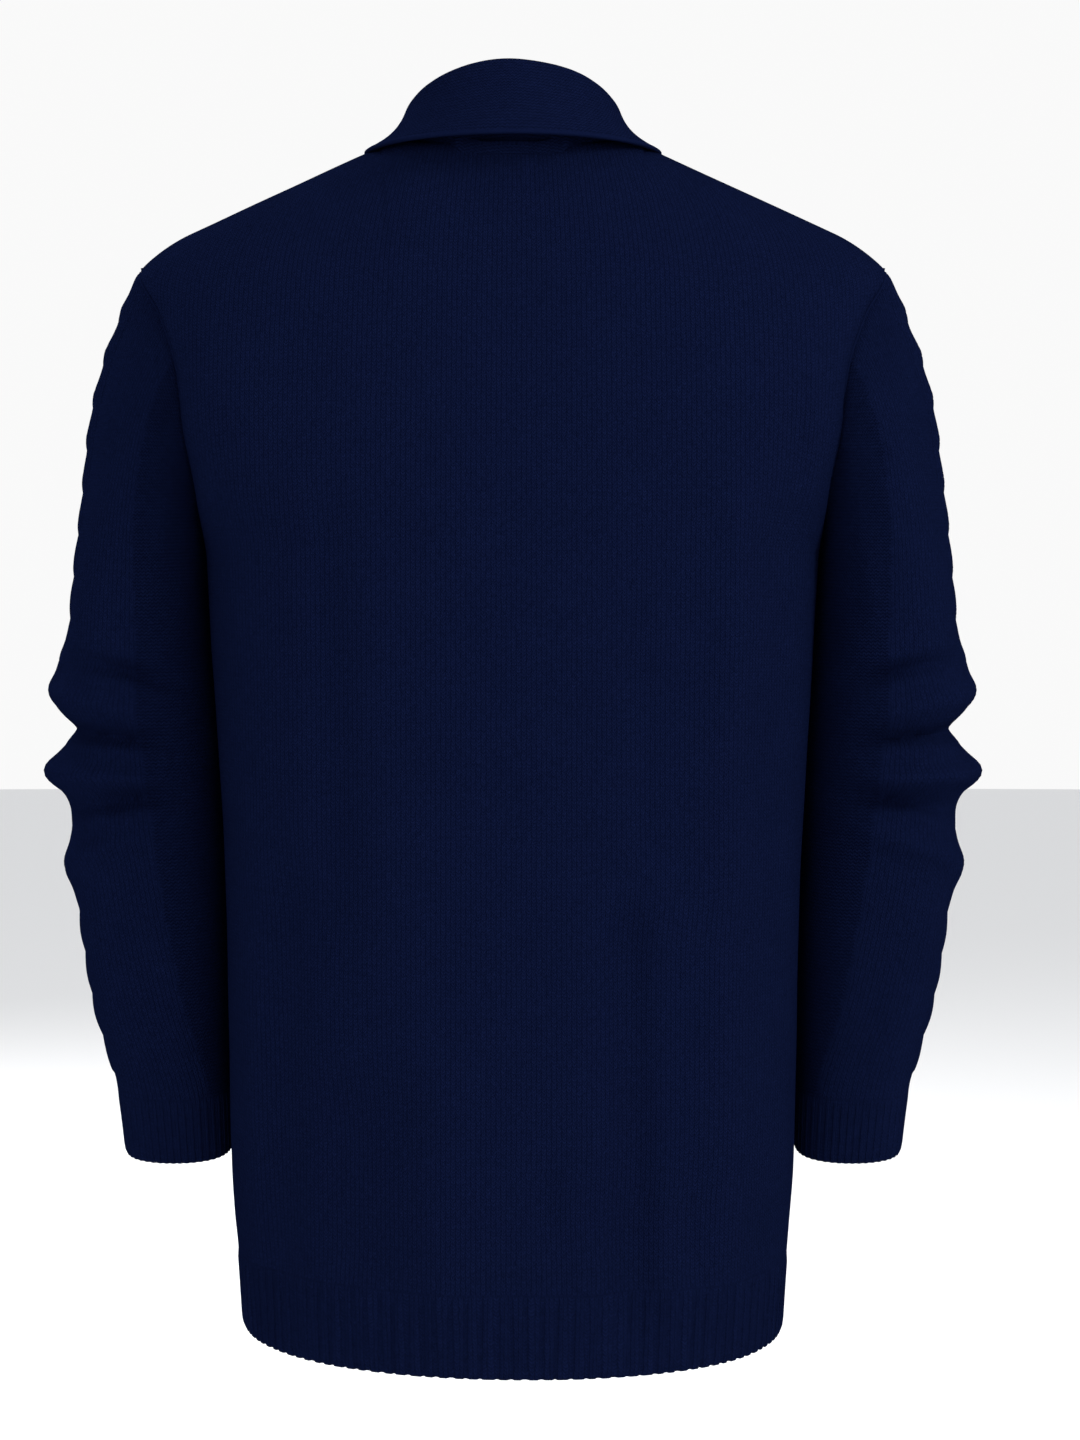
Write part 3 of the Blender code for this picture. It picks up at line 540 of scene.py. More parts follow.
def arm_ring(angle, height):
    """The plain sleeve's section at a height."""
    outer, inner = SLEEVE.at("outer", height), SLEEVE.at("inner", height)
    cos, sin = np.cos(angle), np.sin(angle)
    power = SLEEVE_SQUARENESS
    scale = (np.abs(cos) ** power + np.abs(sin) ** power) ** (-1 / power)
    x = (outer + inner) / 2 + (outer - inner) / 2 * cos * scale
    y = SLEEVE.at("depth", height) * sin * scale - SLEEVE.at("forward", height)
    return point_of(x, y, height)


def sleeve(angle, down, hand=1):
    """Points of the left sleeve's outer face, with one hand's creases. angle is 0 on the outer
    side, a quarter turn at the back and half a turn beside the torso; down runs from 0 at the
    armhole to 1 at the cuff's lower edge."""
    angle, down = np.broadcast_arrays(np.asarray(angle, float), np.asarray(down, float))
    tip = torso(1, 1.0, 2.0)[2]
    outer_height = tip + (CUFF_END - tip) * down
    turn = np.abs(np.mod(angle + np.pi, 2 * np.pi) - np.pi)
    behind = (np.sin(angle) >= 0)[..., None]
    seam = np.where(behind, torso(1, 1.0, 2 - turn / np.pi), torso(-1, 1.0, 2 - turn / np.pi))
    left = 1 - np.minimum((tip - outer_height) / (tip - LEVEL_HEIGHT), 1.0)
    z = outer_height + (seam[..., 2] - tip) * left**ROW_TILT - CUFF_TILT * np.sin(angle) * down**2
    points, start = arm_ring(angle, z), arm_ring(angle, seam[..., 2])
    pull = left**2
    fold = elbow_fold(angle, z) + sleeve_crease(hand, angle, z) * eased((z - CUFF_TOP) / 0.03)
    x = points[..., 0] + (seam[..., 0] + SEAM_GAP - start[..., 0]) * pull + fold * np.cos(angle)
    y = points[..., 1] + (seam[..., 1] - start[..., 1]) * pull + fold * np.sin(angle)
    return point_of(x, y, z)


def sleeve_down(height):
    tip = torso(1, 1.0, 2.0)[2]
    return (tip - np.asarray(height, float)) / (tip - CUFF_END)


def sleeve_normal(angle, down, hand=1):
    middle = (sleeve(0.0, down, hand) + sleeve(np.pi, down, hand)) / 2
    away = sleeve(angle, down, hand) - middle
    return facing(lambda u, v: sleeve(u, v, hand), angle, down, 4 * np.pi, 1.0, away)


# ---------------------------------------------------------------- settings


def amount(name, description, default, low, high, **kind):
    return bpy.props.FloatProperty(
        name=name, description=description, default=default, min=low, max=high, **kind
    )


def metres(name, description, default, low=0.0, high=0.1):
    return amount(name, description, default, low, high,
                  subtype="DISTANCE", unit="LENGTH", precision=5)


def portion(name, description, default):
    return amount(name, description, default, 0.0, 1.0, subtype="FACTOR")


def count(name, description, default, low=1, high=400):
    return bpy.props.IntProperty(
        name=name, description=description, default=default, min=low, max=high
    )


def tint(name, description, default):
    return bpy.props.FloatVectorProperty(
        name=name, description=description, default=default, size=3, min=0.0, max=1.0,
        subtype="COLOR",
    )


class CardiganKnitSettings(bpy.types.PropertyGroup):
    """The yarn and the cloth knitted from it."""

    navy: tint("Navy", "Colour of the wool on the crest of a stitch", (0.0029, 0.0053, 0.0230))
    # Painted shade: the share by which the furrows between stitches are painted darker in the
    # wool's colour.
    shade: portion("Furrow shade", "How dark the furrows between stitches are", 0.50)
    sheen: portion("Fuzz", "Sheen of the wool's fine hairs", 0.004)
    wall: metres("Wall", "Thickness of the plain knit", 0.0022)
    wale: metres("Wale pitch", "Width of one stitch", 0.0027)
    course: metres("Course pitch", "Height of one stitch", 0.00195)
    relief: metres("Stitch relief", "How far a stitch stands out", 0.00085)
    slack: metres("Slack", "Slow unevenness of the hung cloth", 0.0005)


class CardiganRibSettings(bpy.types.PropertyGroup):
    """The ribbed hem, cuffs and front bands."""

    hem_pitch: metres("Hem rib pitch", "Width of one rib of the hem", 0.0073)
    hem_rise: metres("Hem rib rise", "How far a rib of the hem stands out", 0.0010)
    cuff_ribs: count("Cuff ribs", "Ribs round a cuff", 50)
    cuff_rise: metres("Cuff rib rise", "How far a rib of a cuff stands out", 0.0005)
    band_ribs: count("Band ribs", "Ribs across a front band", 5)
    band_rise: metres("Band rib rise", "How far a rib of a band stands out", 0.0009)
    furrow: portion("Furrow", "Share of a rib's width that its furrow takes", 0.26)
    start: metres("Rib start", "Length over which the ribs rise from the seam", 0.0060)


class CardiganCableSettings(bpy.types.PropertyGroup):
    """The rope cable down the outer side of each sleeve."""

    swing: metres("Swing", "How far a strand swings from the middle", 0.0055)
    strand: metres("Strand", "Half the width of a strand", 0.0050)
    rise: metres("Rise", "How far a strand stands out", 0.0029)
    repeat: metres("Repeat", "Length from one crossing to the next", 0.0242)
    channel_at: metres("Channel", "Distance of the purl channels from the middle", 0.0155)
    channel: metres("Channel width", "Half the width of a purl channel", 0.0028)
    channel_drop: metres("Channel drop", "Depth of a purl channel", 0.0013)


class CardiganSeamSettings(bpy.types.PropertyGroup):
    """The seams between the knitted pieces."""

    dip: metres("Dip", "How far the cloth sinks at a seam", 0.0007)
    reach: metres("Reach", "How far from a seam the cloth starts to sink", 0.0024)
    stitch: metres("Stitch spacing", "Distance between linking stitches", 0.0027)
    length: metres("Stitch length", "Length of one leg of a linking stitch", 0.0026)
    width: metres("Stitch width", "Width of one leg of a linking stitch", 0.0010)
    core: metres("Core", "Radius of the yarn under the stitches", 0.0014)
    slant: amount("Slant", "How far a leg leans from the seam's line", math.radians(24),
                  0.0, math.radians(80), subtype="ANGLE", unit="ROTATION")
    seed: count("Seed", "Seed of the stitches' unevenness", 7, 0, 1000)


class CardiganButtonSettings(bpy.types.PropertyGroup):
    """The buttons of the front band."""

    radius: metres("Radius", "Radius of a button", 0.0099)
    thick: metres("Thickness", "Thickness of a button's rim", 0.0030)
    hole: metres("Hole radius", "Radius of a thread hole", 0.0009)
    hole_at: metres("Hole place", "Distance of the holes from the middle", 0.0022)
    thread: metres("Thread radius", "Radius of the sewing thread", 0.00035)
    horn: tint("Horn", "Colour of the button", (0.0060, 0.0072, 0.0140))


class CardiganStageSettings(bpy.types.PropertyGroup):
    """The floor, the light and the camera."""

    floor: tint("Floor", "Colour of the floor", (0.86, 0.86, 0.86))
    floor_drop: metres("Floor drop", "How far the floor lies below the hem", 0.250, 0.0, 2.0)
    distance: metres("Camera distance", "Distance of the camera behind the middle", 1.6, 0.2, 20.0)
    lens: amount("Lens", "Focal length of the camera in millimetres", 69.57, 10.0, 500.0,
                 subtype="DISTANCE_CAMERA", unit="CAMERA")
    key: amount("Key light", "Power of the soft key light", 56.0, 0.0, 2000.0,
                subtype="POWER", unit="POWER")
    sky: amount("Sky", "Strength of the even light from all round", 0.85, 0.0, 10.0,
                subtype="FACTOR")


def groups(context, *names):
    """The cardigan's settings of these names."""
    return [getattr(context.scene, "cardigan_" + name) for name in names]


# ---------------------------------------------------------------- node nets


def sum_of(operation):
    """A way of adding one Math node to a net."""
    return lambda wire, *others: wire.net.math(operation, wire, *others)


class Wire:
    """An output in a net of nodes. The usual signs add the nodes that work out a sum."""

    def __init__(self, net, socket):
        self.net, self.socket = net, socket

    __add__, __sub__, __mul__ = sum_of("ADD"), sum_of("SUBTRACT"), sum_of("MULTIPLY")
    __truediv__, __pow__ = sum_of("DIVIDE"), sum_of("POWER")
    sine, cosine, size, fraction = map(sum_of, ("SINE", "COSINE", "ABSOLUTE", "FRACT"))
    at_least, scaled = sum_of("MAXIMUM"), sum_of("MULTIPLY_ADD")

    def __rsub__(self, other):
        return self.net.math("SUBTRACT", other, self)


class Net:
    """Adds nodes to a tree and joins them up."""

    def __init__(self, tree):
        self.tree = tree

    def put(self, socket, value):
        value = value.socket if isinstance(value, Wire) else value
        if isinstance(value, bpy.types.NodeSocket):
            self.tree.links.new(value, socket)
        else:
            socket.default_value = value

    def node(self, kind, given=None, **settings):
        """A node with these settings and what is given to its inputs, by name or place."""
        made = self.tree.nodes.new(kind)
        for name, value in settings.items():
            setattr(made, name, value)
        for name, value in (given or {}).items():
            self.put(made.inputs[name], value)
        return made

    def out(self, kind, output, given=None, **settings):
        return Wire(self, self.node(kind, given, **settings).outputs[output])

    def math(self, operation, *values):
        return self.out("ShaderNodeMath", 0, dict(enumerate(values)), operation=operation)

    def smooth(self, value, low, high):
        """0 below low, 1 above high and an eased step between them."""
        given = {"Value": value, "From Min": low, "From Max": high}
        return self.out("ShaderNodeMapRange", "Result", given, interpolation_type="SMOOTHSTEP")

    def scaled_vector(self, vector, scale):
        return self.out(
            "ShaderNodeVectorMath", "Vector", {0: vector, "Scale": scale}, operation="SCALE"
        )

    def vector(self, *values):
        return self.out("ShaderNodeCombineXYZ", 0, dict(enumerate(values)))

    def noise(self, place, scale, detail, distortion=0.0):
        given = {"Vector": place, "Scale": scale, "Detail": detail, "Distortion": distortion}
        return self.out("ShaderNodeTexNoise", "Fac", given)

    def attribute(self, name, kind="FLOAT"):
        return self.out("GeometryNodeInputNamedAttribute", "Attribute", {"Name": name},
                        data_type=kind)

    def raised(self, geometry, height):
        """The geometry with each point moved along its normal."""
        along = self.scaled_vector(self.out("GeometryNodeInputNormal", "Normal"), height)
        given = {"Geometry": geometry, "Offset": along}
        return self.out("GeometryNodeSetPosition", "Geometry", given)

    def joined(self, *parts):
        made = self.node("GeometryNodeJoinGeometry")
        for part in parts:
            self.put(made.inputs["Geometry"], part)
        return made.outputs["Geometry"]


def titled(name):
    return name.replace("_", " ").title()


def geometry_tree(name, **kinds):
    """An empty Geometry Nodes tree: its net, and its inputs by name. Beside the geometry and
    the material, each input is a number of the kind that is given, or a seed."""
    tree = bpy.data.node_groups.new(name, "GeometryNodeTree")
    add = tree.interface.new_socket
    add("Geometry", in_out="INPUT", socket_type="NodeSocketGeometry")
    for label, kind in kinds.items():
        if kind == "SEED":
            add(titled(label), in_out="INPUT", socket_type="NodeSocketInt")
        else:
            add(titled(label), in_out="INPUT", socket_type="NodeSocketFloat").subtype = kind
    add("Material", in_out="INPUT", socket_type="NodeSocketMaterial")
    add("Geometry", in_out="OUTPUT", socket_type="NodeSocketGeometry")
    net = Net(tree)
    outputs = net.node("NodeGroupInput").outputs
    names = ("geometry", *kinds, "material")
    return net, {label: Wire(net, outputs[titled(label)]) for label in names}


def end_tree(net, given, geometry):
    """Closes a tree: real geometry in the piece's material."""
    real = net.out("GeometryNodeRealizeInstances", "Geometry", {"Geometry": geometry})
    finish = {"Geometry": real, "Material": given["material"]}
    painted = net.out("GeometryNodeSetMaterial", "Geometry", finish)
    net.node("NodeGroupOutput", {"Geometry": painted})
    return net.tree


def raised_ribs(name):
    """Raises ribs over a sheet whose "rib" attribute counts them across, and whose "risen"
    attribute says how much of their height they have."""
    net, given = geometry_tree(name, rib_rise="DISTANCE", furrow="FACTOR")
    from_furrow = 0.5 - (net.attribute("rib").fraction() - 0.5).size()
    step = net.smooth(from_furrow, given["furrow"] * 0.25, given["furrow"] * 0.95)
    height = step * given["rib_rise"] * net.attribute("risen")
    return end_tree(net, given, net.raised(given["geometry"], height))


CABLE_SIZES = ("swing", "strand", "rise", "repeat", "channel_at", "channel", "channel_drop")


def rope_cable(name):
    """Raises a two-strand rope cable with a sunk channel on both sides, over a sheet whose
    "from_cable" attribute says how far each point is from the cable's middle, and whose
    "down_cable" attribute says how far down it is. "risen" is as for the ribs."""
    net, given = geometry_tree(name, **dict.fromkeys(CABLE_SIZES, "DISTANCE"))

    def bump(distance, width):
        return net.math("EXPONENT", (distance / width) ** 2.0 * -1.0)

    off = net.attribute("from_cable")
    turn = net.attribute("down_cable") * math.pi / given["repeat"]
    swing = turn.sine() * given["swing"]
    over = turn.cosine().scaled(0.5, 0.5)
    front = bump(off - swing, given["strand"]) * over.scaled(0.45, 0.55)
    rear = bump(off + swing, given["strand"]) * over.scaled(-0.45, 1.0)
    rope = front.at_least(rear) * given["rise"]
    sunk = bump(off.size() - given["channel_at"], given["channel"]) * given["channel_drop"]
    height = (rope - sunk) * net.attribute("risen")
    return end_tree(net, given, net.raised(given["geometry"], height))


def plain_knit(name):
    """Gives a sheet its material and nothing else."""
    net, given = geometry_tree(name)
    return end_tree(net, given, given["geometry"])


def linking_stitches(name):
    """Lays linking stitches along a line of points, over a core of yarn. Each stitch is two
    short legs in a V that lies flat on the cloth, which faces the way that the "facing"
    attribute says."""
    sizes = ("spacing", "leg_length", "leg_width", "core_radius")
    net, given = geometry_tree(
        name, **dict.fromkeys(sizes, "DISTANCE"), slant="ANGLE", seed="SEED"
    )
    line = net.out("GeometryNodeMeshToCurve", "Curve", {"Mesh": given["geometry"]})
    spaced = {"Curve": line, "Length": given["spacing"]}
    even = net.out("GeometryNodeResampleCurve", "Curve", spaced, mode="LENGTH")
    leg = net.out("GeometryNodeMeshUVSphere", "Mesh", {"Segments": 6, "Rings": 4, "Radius": 0.5})
    width = given["leg_width"]
    size = net.vector(given["leg_length"], width, width * 0.8)
    legs = []
    for way in (1.0, -1.0):
        laid = {
            "Geometry": leg,
            "Rotation": net.vector(0.0, 0.0, given["slant"] * way),
            "Translation": net.vector(0.0, width * (0.55 * way), 0.0),
            "Scale": size,
        }
        legs.append(net.out("GeometryNodeTransform", "Geometry", laid))
    tangent = {"Vector": net.out("GeometryNodeInputTangent", "Tangent")}
    turn = "FunctionNodeAlignRotationToVector"
    along = net.out(turn, "Rotation", tangent, axis="X")
    cloth = {"Rotation": along, "Vector": net.attribute("facing", "FLOAT_VECTOR")}
    flat = net.out(turn, "Rotation", cloth, axis="Z", pivot_axis="X")
    uneven = net.node("FunctionNodeRandomValue", {"Seed": given["seed"]}, data_type="FLOAT")
    floats = [socket for socket in uneven.inputs if socket.type == "VALUE"]
    for socket, limit in zip(floats, (0.86, 1.10)):
        net.put(socket, limit)
    scale = next(s for s in uneven.outputs if s.type == "VALUE" and s.enabled)
    placed = {"Points": even, "Instance": net.joined(*legs), "Rotation": flat, "Scale": scale}
    stitches = net.out("GeometryNodeInstanceOnPoints", "Instances", placed)
    round_yarn = {"Resolution": 6, "Radius": given["core_radius"]}
    ring = net.out("GeometryNodeCurvePrimitiveCircle", "Curve", round_yarn)
    swept = {"Curve": even, "Profile Curve": ring, "Fill Caps": True}
    core = net.out("GeometryNodeCurveToMesh", "Mesh", swept)
    return end_tree(net, given, net.joined(stitches, core))


def thread_holes(name):
    """Bores four thread holes through a button whose back lies on the X-Y plane."""
    sizes = ("hole_radius", "hole_place", "depth")
    net, given = geometry_tree(name, **dict.fromkeys(sizes, "DISTANCE"))
    square = {"Vertices": 4, "Radius": given["hole_place"]}
    drill = {"Vertices": 16, "Radius": given["hole_radius"], "Depth": given["depth"]}
    places = {
        "Points": net.out("GeometryNodeMeshCircle", "Mesh", square),
        "Instance": net.out("GeometryNodeMeshCylinder", "Mesh", drill),
    }
    bits = {"Geometry": net.out("GeometryNodeInstanceOnPoints", "Instances", places)}
    real = net.out("GeometryNodeRealizeInstances", "Geometry", bits)
    cut = {"Mesh 1": given["geometry"], "Mesh 2": real}
    bored = net.out("GeometryNodeMeshBoolean", "Mesh", cut, operation="DIFFERENCE")
    return end_tree(net, given, bored)


def add_nodes(piece, build, **values):
    """A Geometry Nodes modifier on a piece, its tree built by the first that needs it and its
    inputs given by their names."""
    name = titled(build.__name__)
    tree = bpy.data.node_groups.get(name) or build(name)
    modifier = piece.modifiers.new(name, "NODES")
    modifier.node_group = tree
    identifiers = {item.name: item.identifier for item in tree.interface.items_tree
                   if item.item_type == "SOCKET" and item.in_out == "INPUT"}
    for label, value in values.items():
        modifier[identifiers[titled(label)]] = value


def settle(piece, rim_angle=math.radians(70)):
    """Turns a piece and its modifiers into one plain mesh, its shading broken at its rims."""
    bpy.context.view_layer.update()
    depsgraph = bpy.context.evaluated_depsgraph_get()
    mesh = bpy.data.meshes.new_from_object(
        piece.evaluated_get(depsgraph), preserve_all_data_layers=True, depsgraph=depsgraph
    )
    piece.modifiers.clear()
    piece.data = mesh
    mesh.name = piece.name
    mesh.shade_smooth()
    mesh.set_sharp_from_angle(angle=rim_angle)


def placed_object(name, mesh):
    made = bpy.data.objects.new(name, mesh)
    bpy.context.scene.collection.objects.link(made)
    return made


# ---------------------------------------------------------------- materials


def finish_named(name, build, *settings):
    """The material of this name, built by the first piece that needs it."""
    return bpy.data.materials.get(name) or build(name, *settings)


def bare_material(name, colour):
    """A new material, its net and its shader's inputs."""
    made = bpy.data.materials.new(name)
    made.use_nodes = True
    made.diffuse_color = (*colour, 1.0)
    return made, Net(made.node_tree), made.node_tree.nodes["Principled BSDF"].inputs


def coating(net, shader, colour, tone, roughness, relief, strength, distance, gloss=0.0):
    """Sets what every surface has: its colour, made darker or lighter by tone, its roughness
    and gloss, and its fine relief."""
    bump = {"Strength": strength, "Distance": distance, "Height": relief}
    for name, value in (
        ("Base Color", net.scaled_vector(colour, tone)),
        ("Roughness", roughness),
        ("Specular IOR Level", gloss),
        ("Normal", net.out("ShaderNodeBump", "Normal", bump)),
    ):
        net.put(shader[name], value)


def fuzz(shader, knit):
    """The faint bloom of the wool's hairs."""
    shader["Sheen Weight"].default_value = knit.sheen
    shader["Sheen Roughness"].default_value = 0.45
    shader["Sheen Tint"].default_value = (0.16, 0.28, 0.80, 1.0)


def stocking_height(across, along):
    """Height of the knit side of the cloth, from 0 to 1: each stitch is a V of two legs. across
    and along count stitches."""
    place = across.fraction()
    from_middle = place.scaled(2.0, -1.0).size()
    leg = ((across * 2.0).fraction() * math.pi).sine().at_least(0.0) ** 0.6
    edge = ((place * math.pi).sine().at_least(0.0) ** 0.5).scaled(0.72, 0.28)
    climb = from_middle.scaled(-0.75, along)
    loop = ((climb * math.pi).sine().size() ** 0.8).scaled(0.62, 0.38)
    return leg.scaled(0.35, 0.65) * edge * loop


def purl_height(across, along):
    """Height of the purl side of the cloth, from 0 to 1: rows of small interlocked bumps."""
    wave = (across * (2 * math.pi)).sine()
    bump = (wave.scaled(0.22, along) * math.pi).sine().size() ** 0.8
    return bump * wave.size().scaled(-0.25, 1.0)


def knit_material(name, knit, purl_share=None):
    """Navy wool. Its stitches follow the piece's "stitches" UV map, in metres, and the furrows
    between them are painted darker, as painted shade. purl_share says how far the purl side shows;
    without it the piece's "purl" attribute does, and there purl is painted darker too, as painted
    shade."""
    made, net, shader = bare_material(name, knit.navy)
    place = net.out("ShaderNodeUVMap", "UV", uv_map="stitches")
    shift = net.noise(place, 260.0, 2.0).scaled(0.56, -0.28)
    split = net.node("ShaderNodeSeparateXYZ", {0: place})
    across = Wire(net, split.outputs[0]) / knit.wale + shift
    along = Wire(net, split.outputs[1]) / knit.course + shift
    darker = 0.0
    if purl_share is None:
        darker = purl_share = net.out("ShaderNodeAttribute", "Fac", attribute_name="purl")
    height = stocking_height(across, along)
    height = (purl_height(across, along) - height).scaled(purl_share, height)
    cloth = net.out("ShaderNodeTexCoord", "Object")
    spots = [net.noise(cloth, *size) for size, _ in WOOL_SPOTS]
    patches, hairs = spots[0], spots[-1]
    # Painted shade: the colour is painted darker in the furrows between stitches, where the
    # stitches' height is low.
    tone = height.scaled(knit.shade, 1.0 - knit.shade)
    for spot, (_, strength) in zip(spots, WOOL_SPOTS):
        tone = tone * spot.scaled(*strength)
    # Painted shade: where the purl side shows, the colour is painted darker.
    tone = tone * net.math("MULTIPLY_ADD", darker, PURL_PAINTED_SHADE, 1.0)
    coating(net, shader, [NAVY_GAIN * c for c in knit.navy], tone, patches.scaled(0.10, 0.84),
            height + hairs * 0.35, 0.9, knit.relief)
    fuzz(shader, knit)
    return made


def yarn_material(name, knit):
    """The linking yarn: the same wool, twisted, without stitches of its own."""
    made, net, shader = bare_material(name, knit.navy)
    strands = net.noise(net.out("ShaderNodeTexCoord", "Object"), 1500.0, 3.0)
    coating(net, shader, knit.navy, strands.scaled(0.6, 0.62), strands.scaled(0.15, 0.78),
            strands, 0.7, 0.0003)
    fuzz(shader, knit)
    return made


def horn_material(name, buttons):
    """Dark polished horn: faint flowing streaks under a soft gloss."""
    made, net, shader = bare_material(name, buttons.horn)
    place = {"Vector": net.out("ShaderNodeTexCoord", "Object"), "Scale": (60.0, 60.0, 420.0)}
    streaks = net.noise(net.out("ShaderNodeMapping", "Vector", place), 5.0, 6.0, 1.2)
    coating(net, shader, buttons.horn, streaks.scaled(2.2, 0.2), streaks.scaled(0.22, 0.26),
            streaks, 0.25, 0.0001, gloss=0.3)
    return made


# ---------------------------------------------------------------- sheets of cloth


def seam_dip(seams, *distances):
    """How far the cloth sinks, by its distances from the seams round it."""
    return -seams.dip * np.maximum.reduce([soft_bump(d, seams.reach) for d in distances])


def quads(index):
    return np.stack([index[:-1, :-1], index[:-1, 1:], index[1:, 1:], index[1:, :-1]], axis=-1)


def sheet_object(name, points, outward, across, along, wrapped=False, **attributes):
    """A sheet of quads over a grid of points, seen from the side that outward points to, with a
    UV map in metres. A wrapped sheet's last column is its first one again."""
    rows, columns = points.shape[:2]
    kept = columns - 1 if wrapped else columns
    index = np.arange(rows * kept).reshape(rows, kept)
    if wrapped:
        index = np.concatenate([index, index[:, :1]], axis=1)
    corners, loops = quads(index), quads(np.arange(rows * columns).reshape(rows, columns))
    row, column = rows // 2, columns // 2
    edge_u = points[row, column + 1] - points[row, column]
    edge_v = points[row + 1, column] - points[row, column]
    if np.dot(np.cross(edge_u, edge_v), outward[row, column]) < 0:
        corners, loops = corners[..., ::-1], loops[..., ::-1]
    mesh = bpy.data.meshes.new(name)
    verts = points[:, :kept].reshape(-1, 3)
    mesh.from_pydata(verts.tolist(), [], corners.reshape(-1, 4).tolist())
    uv = mesh.uv_layers.new(name="stitches")
    pairs = np.stack([across.ravel(), along.ravel()], axis=-1)[loops.reshape(-1)]
    uv.data.foreach_set("uv", pairs.astype(np.float32).ravel())
    for label, values in attributes.items():
        made = mesh.attributes.new(label, "FLOAT", "POINT")
        made.data.foreach_set("value", values[:, :kept].astype(np.float32).ravel())
    mesh.shade_smooth()
    return placed_object(name, mesh)


def flat_cut(points):
    """The size of the rectangle round the flat cut, and the cut's area: the widest row and the
    longest column of the sheet, and its area."""
    width = float(running_length(points, 1)[:, -1].max())
    length = float(running_length(points, 0)[-1].max())
    halves = np.cross(points[1:, 1:] - points[:-1, :-1], points[1:, :-1] - points[:-1, 1:])
    area = float(np.linalg.norm(halves, axis=-1).sum() / 2)
    return (round(width, 4), round(length, 4)), min(area, 0.999 * width * length)


def trim_tips(piece):
    """Keeps the wall's corners at the shoulder tips from standing out past the armhole seam."""
    places = np.empty(3 * len(piece.data.vertices))
    piece.data.vertices.foreach_get("co", places)
    places = places.reshape(-1, 3)
    tips = places[:, 2] > TIP_LEVEL
    places[tips, 0] = np.clip(places[tips, 0], -TIP_EDGE, TIP_EDGE)
    piece.data.vertices.foreach_set("co", places.ravel())
    piece.data.update()


def knit_piece(node, cloth, finish, wall, build=plain_knit, sizes=None, wrapped=False, tips=False,
               **attributes):
    """Knits one piece over its cloth, which is a grid of points, the way it faces and its stitch
    places, and sets it in its node's place. The size of its flat cut is worked out but not kept."""
    piece = sheet_object(node + "_knit", *cloth, wrapped, **attributes)
    add_nodes(piece, build, material=finish, **(sizes or {}))
    inner = piece.modifiers.new("wall", "SOLIDIFY")
    inner.thickness, inner.offset, inner.use_even_offset = wall, -1.0, False
    settle(piece)
    if tips:
        trim_tips(piece)
    flat, area = flat_cut(cloth[0])
    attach(piece, "root")
    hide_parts(node)


def panel_rows():
    """Heights up a panel, closer together near the shoulder seam."""
    high = 2.0 - (1 - np.linspace(0.0, 1.0, PANEL_HIGH_ROWS + 1)) ** 2
    return np.concatenate([np.linspace(HEM_SEAM, 1.0, PANEL_LOW_ROWS + 1), high[1:]])[:, None]


def panel_cloth(side, across, up, seams, knit, seed):
    """Points, normals and stitch places of a torso panel, sewn on all sides but its hem."""
    across, up = np.broadcast_arrays(across, up)
    points, normals = torso(side, across, up), torso_normal(side, across, up)
    u, v = running_length(points, 1, (0, 1)), running_length(points, 0, (1, 2))
    full_u, full_v = running_length(points, 1), running_length(points, 0)
    distances = full_u, full_u[:, -1:] - full_u, full_v[-1:] - full_v
    inside = eased(np.minimum.reduce([*distances, full_v]) / SLACK_EDGE)
    lift = seam_dip(seams, *distances) + knit.slack * slack(u, v, seed) * inside
    return points + normals * lift[..., None], normals, u, v


# ---------------------------------------------------------------- operators


class CARDIGAN_OT_back(bpy.types.Operator):
    """Knits the back panel, from the ribbed hem to the shoulder seams and the neck"""

    bl_idname = "cardigan.back"
    bl_label = "Back"

    def execute(self, context):
        knit, seams = groups(context, "knit", "seams")
        neck = neck_across(np.radians(np.linspace(0.0, 90.0, NECK_COLUMNS)))
        half = np.concatenate([neck, np.linspace(neck[-1], 1.0, SHOULDER_COLUMNS)[1:]])
        across = np.concatenate([-half[:0:-1], half])[None, :]
        points, normals, u, v = panel_cloth(1, across, panel_rows(), seams, knit, 1)
        up_neck = np.clip((points[..., 2] + NECK_SPREAD_HEIGHT) / NECK_SPREAD_HEIGHT, 0.0, 1.0)
        u = (u - u[:, len(half) - 1 : len(half)]) * (1 + NECK_SPREAD * up_neck**2)
        finish = finish_named("navy_knit", knit_material, knit)
        knit_piece("back", (points, normals, u, v), finish, knit.wall, tips=True,
                   purl=np.zeros(u.shape))
        return {"FINISHED"}


class CARDIGAN_OT_fronts(bpy.types.Operator):
    """Knits the two front panels, each with its half of the V of the neck"""

    bl_idname = "cardigan.fronts"
    bl_label = "Fronts"

    def execute(self, context):
        knit, seams = groups(context, "knit", "seams")
        finish = finish_named("navy_knit", knit_material, knit)
        up = panel_rows()
        edge = across_at(neckline(up - 1), up)
        for seed, (hand, name) in enumerate(((1, "front_left"), (-1, "front_right"))):
            across = hand * (edge + (1.0 - edge) * np.linspace(0.0, 1.0, FRONT_COLUMNS)[None, :])
            points, normals, u, v = panel_cloth(-1, across, up, seams, knit, 2 + seed)
            cloth = points, normals, hand * (u[:, -1:] - u), v
            knit_piece(name, cloth, finish, knit.wall, tips=True, purl=np.zeros(u.shape))
        return {"FINISHED"}


